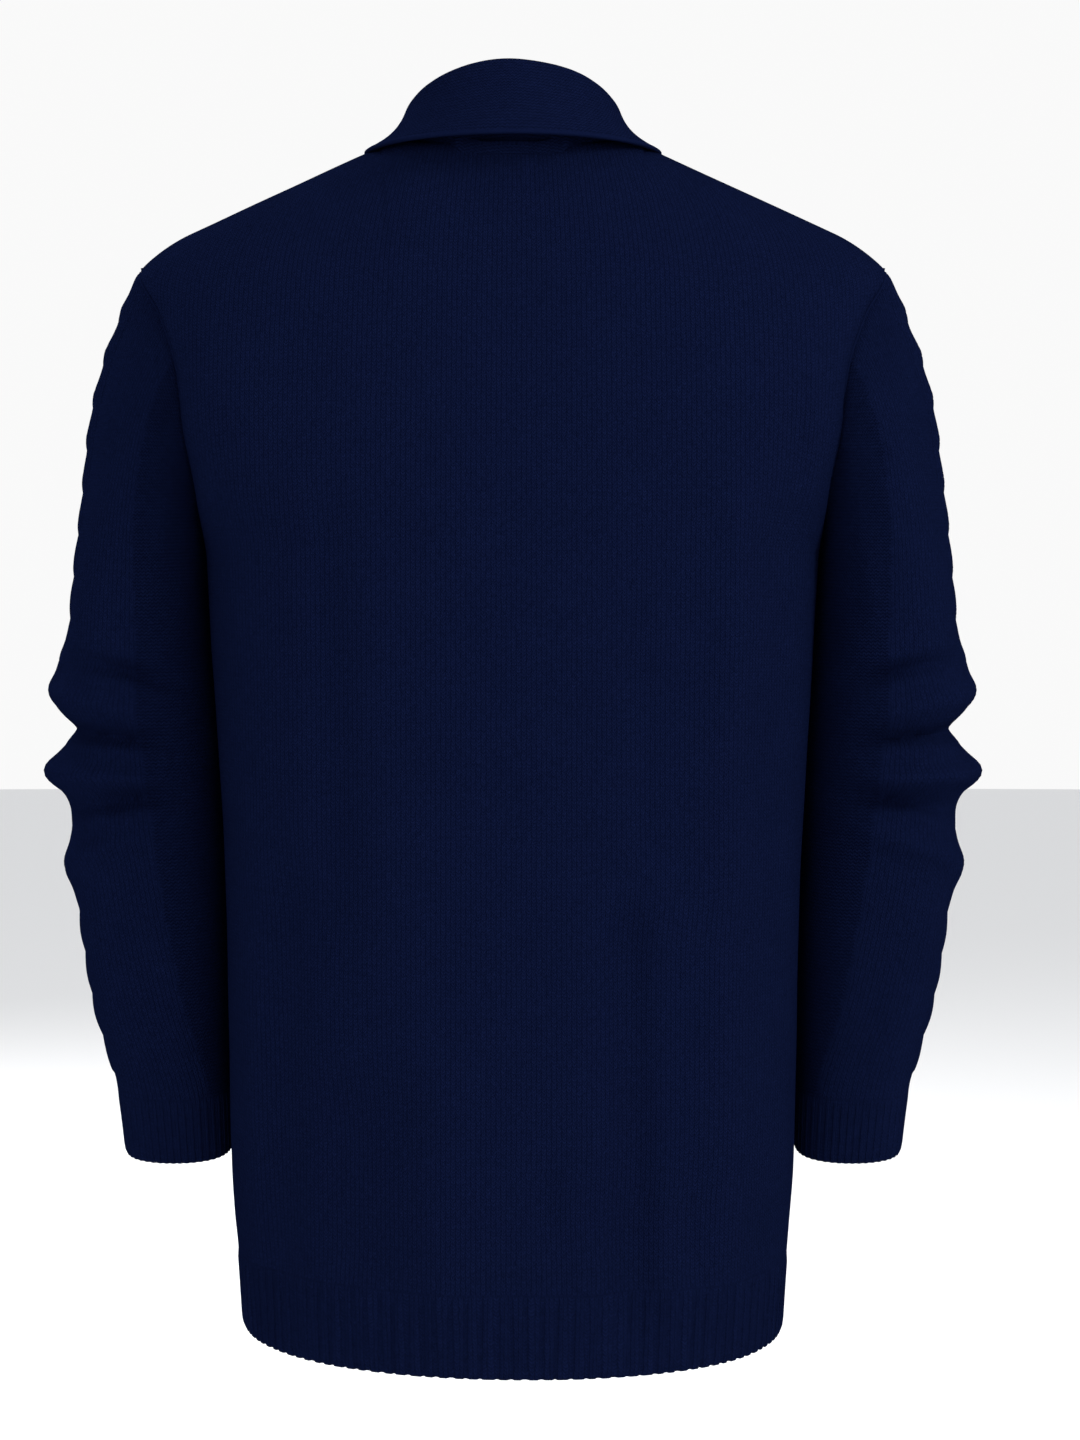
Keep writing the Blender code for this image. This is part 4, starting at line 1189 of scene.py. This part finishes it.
class CARDIGAN_OT_hem(bpy.types.Operator):
    """Knits the ribbed hem in its three stretches: the back and the two fronts"""

    bl_idname = "cardigan.hem"
    bl_label = "Ribbed hem"

    def execute(self, context):
        knit, ribs, seams = groups(context, "knit", "ribs", "seams")
        finish = finish_named("navy_rib", knit_material, knit, 0.0)
        edge = float(across_at(BAND_EDGE, 0.0))
        for name, side, start, end in (
            ("hem_rib_back", 1, -1.0, 1.0),
            ("hem_rib_left", -1, edge, 1.0),
            ("hem_rib_right", -1, -1.0, -edge),
        ):
            line = torso(side, np.linspace(start, end, 400), 0.0)
            number = round(float(running_length(line[None], 1)[0, -1]) / ribs.hem_pitch)
            rib = np.linspace(0.0, number, 9 * number + 1)[None, :]
            up = np.linspace(0.0, HEM_SEAM - SEAM_UP / 4, 16)[:, None]
            across, up = np.broadcast_arrays(start + (end - start) * rib / number, up)
            points, normals = torso(side, across, up), torso_normal(side, across, up)
            v, full_u = running_length(points, 0), running_length(points, 1)
            dip = seam_dip(seams, full_u, full_u[:, -1:] - full_u)
            points = points + normals * (dip + rolled_in(v, HEM_ROLL))[..., None]
            rib = rib + 0.07 * np.sin(2.3 * rib) + 0.05 * np.sin(5.1 * rib + 60 * v)
            risen = eased((v[-1:] - v) / ribs.start)
            points = points - normals * (RIB_SINK * ribs.hem_rise * risen)[..., None]
            cloth = points, normals, (rib - 1 / 6) * 3 * knit.wale, v
            sizes = {"rib_rise": ribs.hem_rise, "furrow": ribs.furrow}
            knit_piece(name, cloth, finish, knit.wall, raised_ribs, sizes, rib=rib, risen=risen)
        return {"FINISHED"}


class CARDIGAN_OT_sleeves(bpy.types.Operator):
    """Knits the sleeves: a rope cable down the outer side, plain knit behind it, and purl on
    the inner side"""

    bl_idname = "cardigan.sleeves"
    bl_label = "Sleeves"

    def execute(self, context):
        knit, seams, cable = groups(context, "knit", "seams", "cable")
        finish = finish_named("navy_knit", knit_material, knit)
        sizes = {name: getattr(cable, name) for name in CABLE_SIZES}
        near = np.linspace(-CABLE_HALF_ANGLE, CABLE_HALF_ANGLE, CABLE_COLUMNS)
        rest = np.linspace(near[-1], 2 * np.pi - near[-1], PLAIN_COLUMNS)[1:-1]
        angles = np.concatenate([near, rest])
        start = int(np.searchsorted(angles, np.pi))
        angles = np.concatenate([angles[start:] - 2 * np.pi, angles[: start + 1]])
        outer = int(np.argmin(np.abs(angles)))
        down = sleeve_down(np.linspace(SLEEVE_TOP, CUFF_TOP, SLEEVE_ROWS))[:, None]
        for hand, name in ((1, "sleeve_left"), (-1, "sleeve_right")):
            angle, downs = np.broadcast_arrays(angles[None, :], np.maximum(down, 0.0))
            points, normals = sleeve(angle, downs, hand), sleeve_normal(angle, downs, hand)
            round_arm, from_top = running_length(points, 1), running_length(points, 0)
            plain = running_length(arm_ring(angle, points[..., 2]), 1)
            u = plain - plain[:, outer : outer + 1]
            v = points[..., 2] - points[-1:, :, 2]
            under = np.minimum(round_arm, round_arm[:, -1:] - round_arm)
            dip = seam_dip(seams, from_top, np.where(under < 0.02, under, 1.0))
            inside = eased(np.minimum(from_top, v) / SLACK_EDGE)
            lift = dip + knit.slack * slack(u, v, 5 + hand) * inside
            points = points + normals * lift[..., None]
            purl_from = PURL_FROM + PURL_WANDER * np.sin(9 * v)
            purl = eased((np.abs(u) - purl_from) / PURL_STEP)
            risen = eased(from_top / 0.020) * eased(v / 0.010)
            if hand < 0:
                points, normals = mirrored(points, normals)
            knit_piece(name, (points, normals, u, v), finish, knit.wall, rope_cable, sizes,
                       wrapped=True, purl=purl, from_cable=u, down_cable=points[..., 2],
                       risen=risen)
        return {"FINISHED"}


class CARDIGAN_OT_cuffs(bpy.types.Operator):
    """Knits the ribbed cuffs"""

    bl_idname = "cardigan.cuffs"
    bl_label = "Cuffs"

    def execute(self, context):
        knit, ribs = groups(context, "knit", "ribs")
        finish = finish_named("navy_rib", knit_material, knit, 0.0)
        sizes = {"rib_rise": ribs.cuff_rise, "furrow": 1.5 * ribs.furrow}
        for hand, name in ((1, "cuff_left"), (-1, "cuff_right")):
            rib = np.linspace(0.0, ribs.cuff_ribs, 8 * ribs.cuff_ribs + 1)[None, :]
            down = sleeve_down(np.linspace(CUFF_TOP - SEAM_GAP / 4, CUFF_END, 15))[:, None]
            angle, down = np.broadcast_arrays(np.pi + 2 * np.pi * rib / ribs.cuff_ribs, down)
            points, normals = sleeve(angle, down, hand), sleeve_normal(angle, down, hand)
            from_top = running_length(points, 0)
            v = from_top[-1:] - from_top
            points = points + normals * rolled_in(v, CUFF_ROLL)[..., None]
            rib = np.broadcast_to(rib, v.shape)
            risen = eased(from_top / ribs.start)
            points = points - normals * (RIB_SINK * ribs.cuff_rise * risen)[..., None]
            if hand < 0:
                points, normals = mirrored(points, normals)
            cloth = points, normals, (rib - 0.25) * 2 * knit.wale, v
            knit_piece(name, cloth, finish, knit.wall, raised_ribs, sizes, wrapped=True,
                       rib=rib, risen=risen)
        return {"FINISHED"}


# ---------------------------------------------------------------- collar


def neck_seam(side, place, at, toward):
    """Where the collar's stand starts: past the panel's edge, at the middle of its wall. place
    gives how far across and up the edge lies at a step along it."""
    point, before = torso(side, *place(at)), torso(side, *place(at - EDGE_STEP))
    normal = torso_normal(side, *place(at))
    away = turned_out(unit(np.cross(point - before, normal)), toward)
    return point - normal * (WALL / 2) + away * (COLLAR_WALL / 2 + SEAM_GAP)


def back_stations(turn):
    """Seam, fold, leaf edge and crown at angles round the neck, 0 at the middle of the back."""
    sin, cos = np.sin(turn), np.cos(turn)
    seam = neck_seam(1, lambda at: (neck_across(at), np.full(at.shape, 2.0)), turn,
                     point_of(-sin, -cos, 0.5))
    quarter = 2 * turn / np.pi
    fold_height = FOLD_TOP - FOLD_DROP * quarter**FOLD_DROP_POWER
    leaf_height = LEAF_HEIGHT + (LEAF_SIDE_HEIGHT - LEAF_HEIGHT) * quarter**3
    fold = point_of(FOLD_REACH * sin, FOLD_DEPTH * cos, fold_height)
    leaf = point_of(LEAF_REACH * sin, LEAF_DEPTH * cos, leaf_height)
    crown = LEAF_BULGE * cos - LEAF_HOLLOW * np.sin(2 * turn)
    return seam, fold, leaf, crown + (LEAF_BULGE - LEAF_SIDE_HOLLOW) * sin**6


def front_stations(rise):
    """The same at heights up the front's V, 1 at the side of the neck."""
    up = 1 + rise

    def lifted(line):
        across = across_at(LAPEL.at(line + "_x", rise), up)
        level = LAPEL.at(line + "_level", rise)[..., None]
        return torso(-1, across, up) + torso_normal(-1, across, up) * level

    seam = neck_seam(-1, lambda at: (across_at(neckline(at), 1 + at), 1 + at), rise,
                     point_of(-1.0, 0.0, 0.0))
    crown = LEAF_BULGE - LEAF_SIDE_HOLLOW * eased((rise - 0.80) / 0.20)
    return seam, lifted("fold"), lifted("leaf"), crown


def collar_path(seam, fold, leaf, crown):
    """The middle of the collar's wall at each station, from the leaf's edge over the fold to the
    neck seam, and which way the wall faces there. Returns two grids, station by place."""
    to_leaf, to_seam = unit(leaf - fold), unit(seam - fold)
    down, out = unit(to_leaf + to_seam), unit(to_leaf - to_seam)
    end, foot = (
        np.concatenate([dot(place - fold, down), dot(place - fold, out)], axis=-1)
        for place in (leaf, seam)
    )
    turn_angles = np.linspace(np.pi / 2, -np.pi / 2, TURN_STEPS + 1)
    turn = FOLD_RADIUS * np.stack([1 - np.cos(turn_angles), np.sin(turn_angles)], axis=-1)
    parts = []
    for i in range(LEAF_STEPS):
        share = i / LEAF_STEPS
        flat = end + (turn[0] - end) * share
        flat[..., 1] += crown * 4 * share * (1 - share)
        parts.append(flat)
    parts += [np.broadcast_to(step, end.shape) for step in turn]
    longer = 1 + STAND_ALLOWANCE / np.linalg.norm(foot - turn[-1], axis=-1, keepdims=True)
    foot = turn[-1] + (foot - turn[-1]) * longer
    parts += [turn[-1] + (foot - turn[-1]) * i / STAND_STEPS for i in range(1, STAND_STEPS + 1)]
    path = np.stack(parts, axis=1)
    run = unit(np.gradient(path, axis=1))
    off = np.stack([-run[..., 1], run[..., 0]], axis=-1)

    def in_space(flat):
        return down[:, None] * flat[..., :1] + out[:, None] * flat[..., 1:]

    return fold[:, None] + in_space(path), -in_space(off)


def both_halves(points):
    """One half of a line or grid, then its mirror image back from its last station."""
    return np.concatenate([points, points[-2::-1] * (-1, 1, 1)])


class CARDIGAN_OT_collar(bpy.types.Operator):
    """Knits the shawl collar, folded over from the neck seam, from the foot of one lapel round
    the neck to the other's"""

    bl_idname = "cardigan.collar"
    bl_label = "Shawl collar"

    def execute(self, context):
        (knit,) = groups(context, "knit")
        rises = LAPEL_FOOT + (LAPEL_END - LAPEL_FOOT) * np.linspace(0.0, 1.0, 90)
        back = back_stations(np.radians(np.linspace(90.0, 0.0, 46)))
        lines = (np.concatenate(pair) for pair in zip(front_stations(rises), back))
        points, normals = map(both_halves, collar_path(*lines))
        along = running_length(points, 0).max(axis=1, keepdims=True) * np.ones(points.shape[:2])
        across = running_length(points, 1)
        inside = eased(across / LEAF_SLACK_EDGE)
        lift = knit.slack * slack(along, across, 9) * inside + rolled_in(across, LEAF_ROLL)
        points = points + normals * (lift + COLLAR_WALL / 2)[..., None]
        finish = finish_named("navy_collar", knit_material, knit, 0.8)
        knit_piece("collar", (points, normals, along, across), finish, COLLAR_WALL)
        return {"FINISHED"}


# ---------------------------------------------------------------- bands and buttons


class CARDIGAN_OT_bands(bpy.types.Operator):
    """Knits the two ribbed front bands, the left one over the right one"""

    bl_idname = "cardigan.bands"
    bl_label = "Front bands"

    def execute(self, context):
        knit, ribs = groups(context, "knit", "ribs")
        finish = finish_named("navy_rib", knit_material, knit, 0.0)
        sizes = {"rib_rise": ribs.band_rise, "furrow": ribs.furrow}
        for name, level in BAND_LEVELS.items():
            rib = np.linspace(0.0, ribs.band_ribs, 10 * ribs.band_ribs + 1)[None, :]
            up = np.linspace(0.0, BAND_TOP, 190)[:, None]
            x = BAND_WIDTH * (rib / ribs.band_ribs - 0.5)
            across, up = np.broadcast_arrays(across_at(x, up), up)
            points, normals = torso(-1, across, up), torso_normal(-1, across, up)
            v = running_length(points, 0)
            edge = np.minimum(rib, ribs.band_ribs - rib) * BAND_WIDTH / ribs.band_ribs
            roll = rolled_in(np.minimum(np.minimum(edge, v), v[-1:] - v), EDGE_ROLL)
            points = points + normals * (level + roll - BAND_SINK)[..., None]
            rib = np.broadcast_to(rib + 0.5, v.shape)
            cloth = points, normals, (rib - 1 / 6) * 3 * knit.wale, v
            knit_piece(name, cloth, finish, knit.wall, raised_ribs, sizes,
                       rib=rib, risen=np.ones(v.shape))
        return {"FINISHED"}


def button_place(number):
    """The middle of a button's back and the way it faces, on the left band."""
    low, high = HEM_HEIGHT + LOW_BUTTON_RISE, UNDERARM_HEIGHT - TOP_BUTTON_DROP
    height = high + (low - high) * number / (BUTTON_COUNT - 1)
    up = (height - HEM_HEIGHT) / (UNDERARM_HEIGHT - HEM_HEIGHT)
    normal = torso_normal(-1, 0.0, up)
    middle = torso(-1, 0.0, up) + normal * (BAND_LEVELS["band_left"] + SEAM_GAP)
    return Vector(middle), Vector(normal)


def turned_mesh(name, outline, segments=48):
    """A closed mesh turned about Z from an outline that starts and ends on it."""
    angles = np.arange(segments) * 2 * np.pi / segments
    verts, faces = [(0.0, 0.0, outline[0][1])], []
    for radius, height in outline[1:-1]:
        verts += [(radius * math.cos(a), radius * math.sin(a), height) for a in angles]
    verts.append((0.0, 0.0, outline[-1][1]))
    last, rings = len(verts) - 1, len(outline) - 2
    for i in range(segments):
        j = (i + 1) % segments
        faces.append((0, 1 + i, 1 + j))
        for ring in range(rings - 1):
            a, b = 1 + ring * segments, 1 + (ring + 1) * segments
            faces.append((a + i, b + i, b + j, a + j))
        end = 1 + (rings - 1) * segments
        faces.append((end + i, last, end + j))
    mesh = bpy.data.meshes.new(name)
    mesh.from_pydata(verts, [], faces)
    return mesh


def tube_mesh(name, paths, radius, sides=6):
    """Round tubes along lines of points, with closed ends."""
    verts, faces = [], []
    for path in paths:
        path = np.array(path, float)
        run = unit(np.gradient(path, axis=0))
        side = unit(np.cross(run, (0.0, 0.0, 1.0) + 0.01 * run))
        other = np.cross(run, side)
        first = len(verts)
        last = first + (len(path) - 1) * sides
        for k in range(len(path)):
            for i in range(sides):
                a = 2 * np.pi * i / sides
                verts.append(tuple(path[k] + radius * (np.cos(a) * side[k] + np.sin(a) * other[k])))
        for a in range(first, last, sides):
            for i in range(sides):
                j, b = (i + 1) % sides, a + sides
                faces.append((a + i, a + j, b + j, b + i))
        faces.append(tuple(first + i for i in range(sides))[::-1])
        faces.append(tuple(last + i for i in range(sides)))
    mesh = bpy.data.meshes.new(name)
    mesh.from_pydata(verts, [], faces)
    return mesh


def thread_mesh(name, buttons):
    """Two stitches over a button's face, each of two strands, crossing in the middle."""
    paths = []
    top = 0.66 * buttons.thick + buttons.thread
    for turn, lift in ((0.0, 0.0), (math.pi / 2, 1.6 * buttons.thread)):
        for off in (-1, 1):
            t = np.linspace(-1.0, 1.0, 13)
            along, side = buttons.hole_at * t, off * buttons.thread * 0.9
            drop = -0.9 * buttons.thick * np.maximum(np.abs(t) - 0.8, 0.0) / 0.2
            x = along * math.cos(turn) - side * math.sin(turn)
            y = along * math.sin(turn) + side * math.cos(turn)
            paths.append(point_of(x, y, top + lift * (1 - t * t) + drop))
    return tube_mesh(name, paths, buttons.thread)


def set_down(piece, middle, normal, spin):
    """Moves a piece made on the X-Y plane to its place, in its mesh."""
    place = normal.to_track_quat("Z", "Y").to_matrix().to_4x4()
    piece.data.transform(Matrix.Translation(middle) @ place @ Matrix.Rotation(spin, 4, "Z"))


class CARDIGAN_OT_buttons(bpy.types.Operator):
    """Turns the buttons, bores their thread holes and sews them to the left band"""

    bl_idname = "cardigan.buttons"
    bl_label = "Buttons"

    def execute(self, context):
        buttons, knit = groups(context, "buttons", "knit")
        horn = finish_named("dark_horn", horn_material, buttons)
        yarn = finish_named("navy_linking_yarn", yarn_material, knit)
        outline = [(buttons.radius * r, buttons.thick * z) for r, z in BUTTON_OUTLINE]
        for number in range(BUTTON_COUNT):
            name = f"button_{number + 1}"
            place = (*button_place(number), math.radians(BUTTON_SPINS[number]))
            piece = placed_object(name + "_horn", turned_mesh(name, outline))
            add_nodes(piece, thread_holes, hole_radius=buttons.hole, hole_place=buttons.hole_at,
                      depth=4 * buttons.thick, material=horn)
            settle(piece, math.radians(40))
            set_down(piece, *place)
            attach(piece, "root")
            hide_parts(name)
            thread = placed_object(name + "_thread", thread_mesh(name + "_thread", buttons))
            thread.data.materials.append(yarn)
            thread.data.shade_smooth()
            set_down(thread, *place)
            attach(thread, "root")
        return {"FINISHED"}


# ---------------------------------------------------------------- seams


def line_object(name, points, facings):
    """A bare line of points, each with the way that the cloth faces there."""
    mesh = bpy.data.meshes.new(name)
    mesh.from_pydata(points.tolist(), [(i, i + 1) for i in range(len(points) - 1)], [])
    made = mesh.attributes.new("facing", "FLOAT_VECTOR", "POINT")
    made.data.foreach_set("vector", facings.astype(np.float32).ravel())
    return placed_object(name, mesh)


def seam_lines():
    """Every sewn line of the cardigan, by name: its points and the way the cloth faces there."""
    lines = {}

    def sew(name, points, facings, depth=SEAM_YARN_DEPTH, hand=1):
        line = points - facings * depth, facings
        lines[name] = line if hand > 0 else mirrored(*line)

    turn = np.linspace(-np.pi, np.pi, 260)
    top = np.zeros(turn.shape)
    points = sleeve(turn, top + 0.0006)
    away = unit(sleeve_normal(turn, top + 0.004) + unit(points - point_of(0.19, 0.0, -0.15)) * 0.4)
    sew("armhole_left", points, away)
    sew("armhole_right", points, away, hand=-1)
    stations = (
        front_stations(np.linspace(LAPEL_FOOT, LAPEL_END, 110)),
        back_stations(np.radians(np.linspace(90.0, 0.0, 60))),
    )
    points = both_halves(np.concatenate([station[0] for station in stations]))
    outward = unit(points * (1, 1, 0) + point_of(0.0, 0.0, 0.02))
    sew("neck", points, outward, NECK_YARN_DEPTH)
    grids = zip(*(collar_path(*station) for station in stations))
    edge, faces = (both_halves(np.concatenate([g[:, 0] for g in pair])) for pair in grids)
    sew("collar_edge", edge, faces, LEAF_YARN_DEPTH)
    front_edge = float(across_at(BAND_EDGE, HEM_SEAM))
    for name, side, start, end in (
        ("hem_back_1", 1, -1.0, 1.0),
        ("hem_front_1", -1, front_edge, 1.0),
        ("hem_front_2", -1, -1.0, -front_edge),
    ):
        place = side, np.linspace(start, end, 300), HEM_SEAM - SEAM_UP / 2
        sew(name, torso(*place), torso_normal(*place))
    for hand, name in ((1, "left"), (-1, "right")):
        down = sleeve_down(CUFF_TOP - SEAM_GAP / 2)
        place = np.linspace(0.0, 2 * np.pi, 160), down, hand
        sew("cuff_" + name, sleeve(*place), sleeve_normal(*place), hand=hand)
        edge = torso(1, 1.0, np.linspace(0.0, 1.0, 240)) * (1, 0, 1)
        sew("side_" + name, edge, point_of(np.ones(240), 0.0, 0.0), hand=hand)
        up = np.linspace(0.003, BAND_TOP, 240)
        place = -1, across_at(hand * (BAND_EDGE - SEAM_GAP / 2), up), up
        sew("band_" + name, torso(*place), torso_normal(*place))
        reach = np.linspace(NECK_REACH / SHOULDER_REACH, 0.995, 80)
        top = torso(1, np.arcsin(reach) * 2 / np.pi, 2.0) * (1, 0, 1)
        high = point_of(np.zeros(80), 0.0, 1.0)
        sew("shoulder_" + name, top, high, SHOULDER_YARN_DEPTH, hand)
    return lines


class CARDIGAN_OT_seams(bpy.types.Operator):
    """Links the knitted pieces: a line of stitches in every seam"""

    bl_idname = "cardigan.seams"
    bl_label = "Linking stitches"

    def execute(self, context):
        knit, seams = groups(context, "knit", "seams")
        yarn = finish_named("navy_linking_yarn", yarn_material, knit)
        for number, (name, line) in enumerate(seam_lines().items()):
            piece = line_object("seam_" + name, *line)
            add_nodes(piece, linking_stitches, spacing=seams.stitch, leg_length=seams.length,
                      leg_width=seams.width, core_radius=seams.core, slant=seams.slant,
                      seed=seams.seed + number, material=yarn)
            settle(piece)
            if not piece.data.polygons:
                raise RuntimeError(f"the seam {name} has no stitches")
            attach(piece, "root")
        return {"FINISHED"}


# ---------------------------------------------------------------- stage


class CARDIGAN_OT_stage(bpy.types.Operator):
    """Lays the floor, hangs the soft lights and sets the camera behind the cardigan"""

    bl_idname = "cardigan.stage"
    bl_label = "Floor, light and camera"

    def execute(self, context):
        scene = context.scene
        (stage,) = groups(context, "stage")
        self.floor(stage)
        self.backdrop()
        for name, place, size, share_of_key in LIGHTS:
            light = bpy.data.lights.new(name, "AREA")
            light.shape = "DISK"
            light.size, light.energy = size, share_of_key * stage.key
            aim = (Vector(LIT_MIDDLE) - Vector(place)).to_track_quat("-Z", "Y")
            made = placed_object(name, light)
            made.location, made.rotation_euler = place, aim.to_euler()
        world = bpy.data.worlds.new("pale_studio")
        world.use_nodes = True
        background = world.node_tree.nodes["Background"]
        background.inputs["Color"].default_value = (0.93, 0.94, 0.96, 1.0)
        background.inputs["Strength"].default_value = stage.sky
        scene.world = world
        scene.view_settings.view_transform = "Standard"
        camera = bpy.data.cameras.new("camera")
        camera.lens, camera.sensor_width, camera.sensor_fit = stage.lens, 36.0, "AUTO"
        camera.clip_start, camera.clip_end = 0.05, 60.0
        scene.camera = placed_object("camera", camera)
        scene.camera.location = (CAMERA_SIDE, stage.distance, CAMERA_HEIGHT)
        scene.camera.rotation_euler = (math.pi / 2, 0.0, math.pi)
        return {"FINISHED"}

    def floor(self, stage):
        height = HEM_HEIGHT - stage.floor_drop
        angles = np.linspace(0, 2 * np.pi, 97)[:-1]
        verts = [(23 * math.cos(a), 23 * math.sin(a), height) for a in angles]
        mesh = bpy.data.meshes.new("floor")
        mesh.from_pydata(verts, [], [tuple(range(len(verts)))])
        self.paint(mesh, "pale_floor", {"Base Color": (*stage.floor, 1.0), "Roughness": 0.9})
        placed_object("floor", mesh)

    def backdrop(self):
        """A white wall far off all round, which shows behind the cardigan and doesn't light it."""
        mesh = turned_mesh("backdrop", BACKDROP_OUTLINE)
        self.paint(mesh, "white_backdrop", {
            "Base Color": (0.0, 0.0, 0.0, 1.0), "Specular IOR Level": 0.0,
            "Emission Color": (0.95, 0.95, 0.95, 1.0), "Emission Strength": 1.0,
        })
        wall = placed_object("backdrop", mesh)
        wall.visible_diffuse = wall.visible_glossy = wall.visible_shadow = False
        wall.visible_transmission = False

    def paint(self, mesh, name, values):
        made, _, shader = bare_material(name, values["Base Color"][:3])
        for label, value in values.items():
            shader[label].default_value = value
        mesh.materials.append(made)


# ---------------------------------------------------------------- panel and registration


SETTINGS = {
    "cardigan_knit": CardiganKnitSettings,
    "cardigan_ribs": CardiganRibSettings,
    "cardigan_cable": CardiganCableSettings,
    "cardigan_seams": CardiganSeamSettings,
    "cardigan_buttons": CardiganButtonSettings,
    "cardigan_stage": CardiganStageSettings,
}
OPERATORS = (
    CARDIGAN_OT_back,
    CARDIGAN_OT_fronts,
    CARDIGAN_OT_hem,
    CARDIGAN_OT_sleeves,
    CARDIGAN_OT_cuffs,
    CARDIGAN_OT_collar,
    CARDIGAN_OT_bands,
    CARDIGAN_OT_buttons,
    CARDIGAN_OT_seams,
    CARDIGAN_OT_stage,
)


class CARDIGAN_PT_pieces(bpy.types.Panel):
    """Lists the cardigan's pieces and the sizes and colours they are made to"""

    bl_idname = "CARDIGAN_PT_pieces"
    bl_label = "Cardigan"
    bl_space_type = "VIEW_3D"
    bl_region_type = "UI"
    bl_category = "Cardigan"

    def draw(self, context):
        for operator in OPERATORS:
            self.layout.operator(operator.bl_idname)
        for name in SETTINGS:
            box = self.layout.box()
            group = getattr(context.scene, name)
            for item in group.__annotations__:
                box.prop(group, item)


def register():
    for made in (*SETTINGS.values(), *OPERATORS, CARDIGAN_PT_pieces):
        bpy.utils.register_class(made)
    for name, group in SETTINGS.items():
        setattr(bpy.types.Scene, name, bpy.props.PointerProperty(type=group))


def unregister():
    for name in SETTINGS:
        delattr(bpy.types.Scene, name)
    for made in (CARDIGAN_PT_pieces, *OPERATORS[::-1], *list(SETTINGS.values())[::-1]):
        bpy.utils.unregister_class(made)


def main():
    register()
    for operator in OPERATORS:
        group, name = operator.bl_idname.split(".")
        getattr(getattr(bpy.ops, group), name)()


if __name__ == "__main__":
    main()
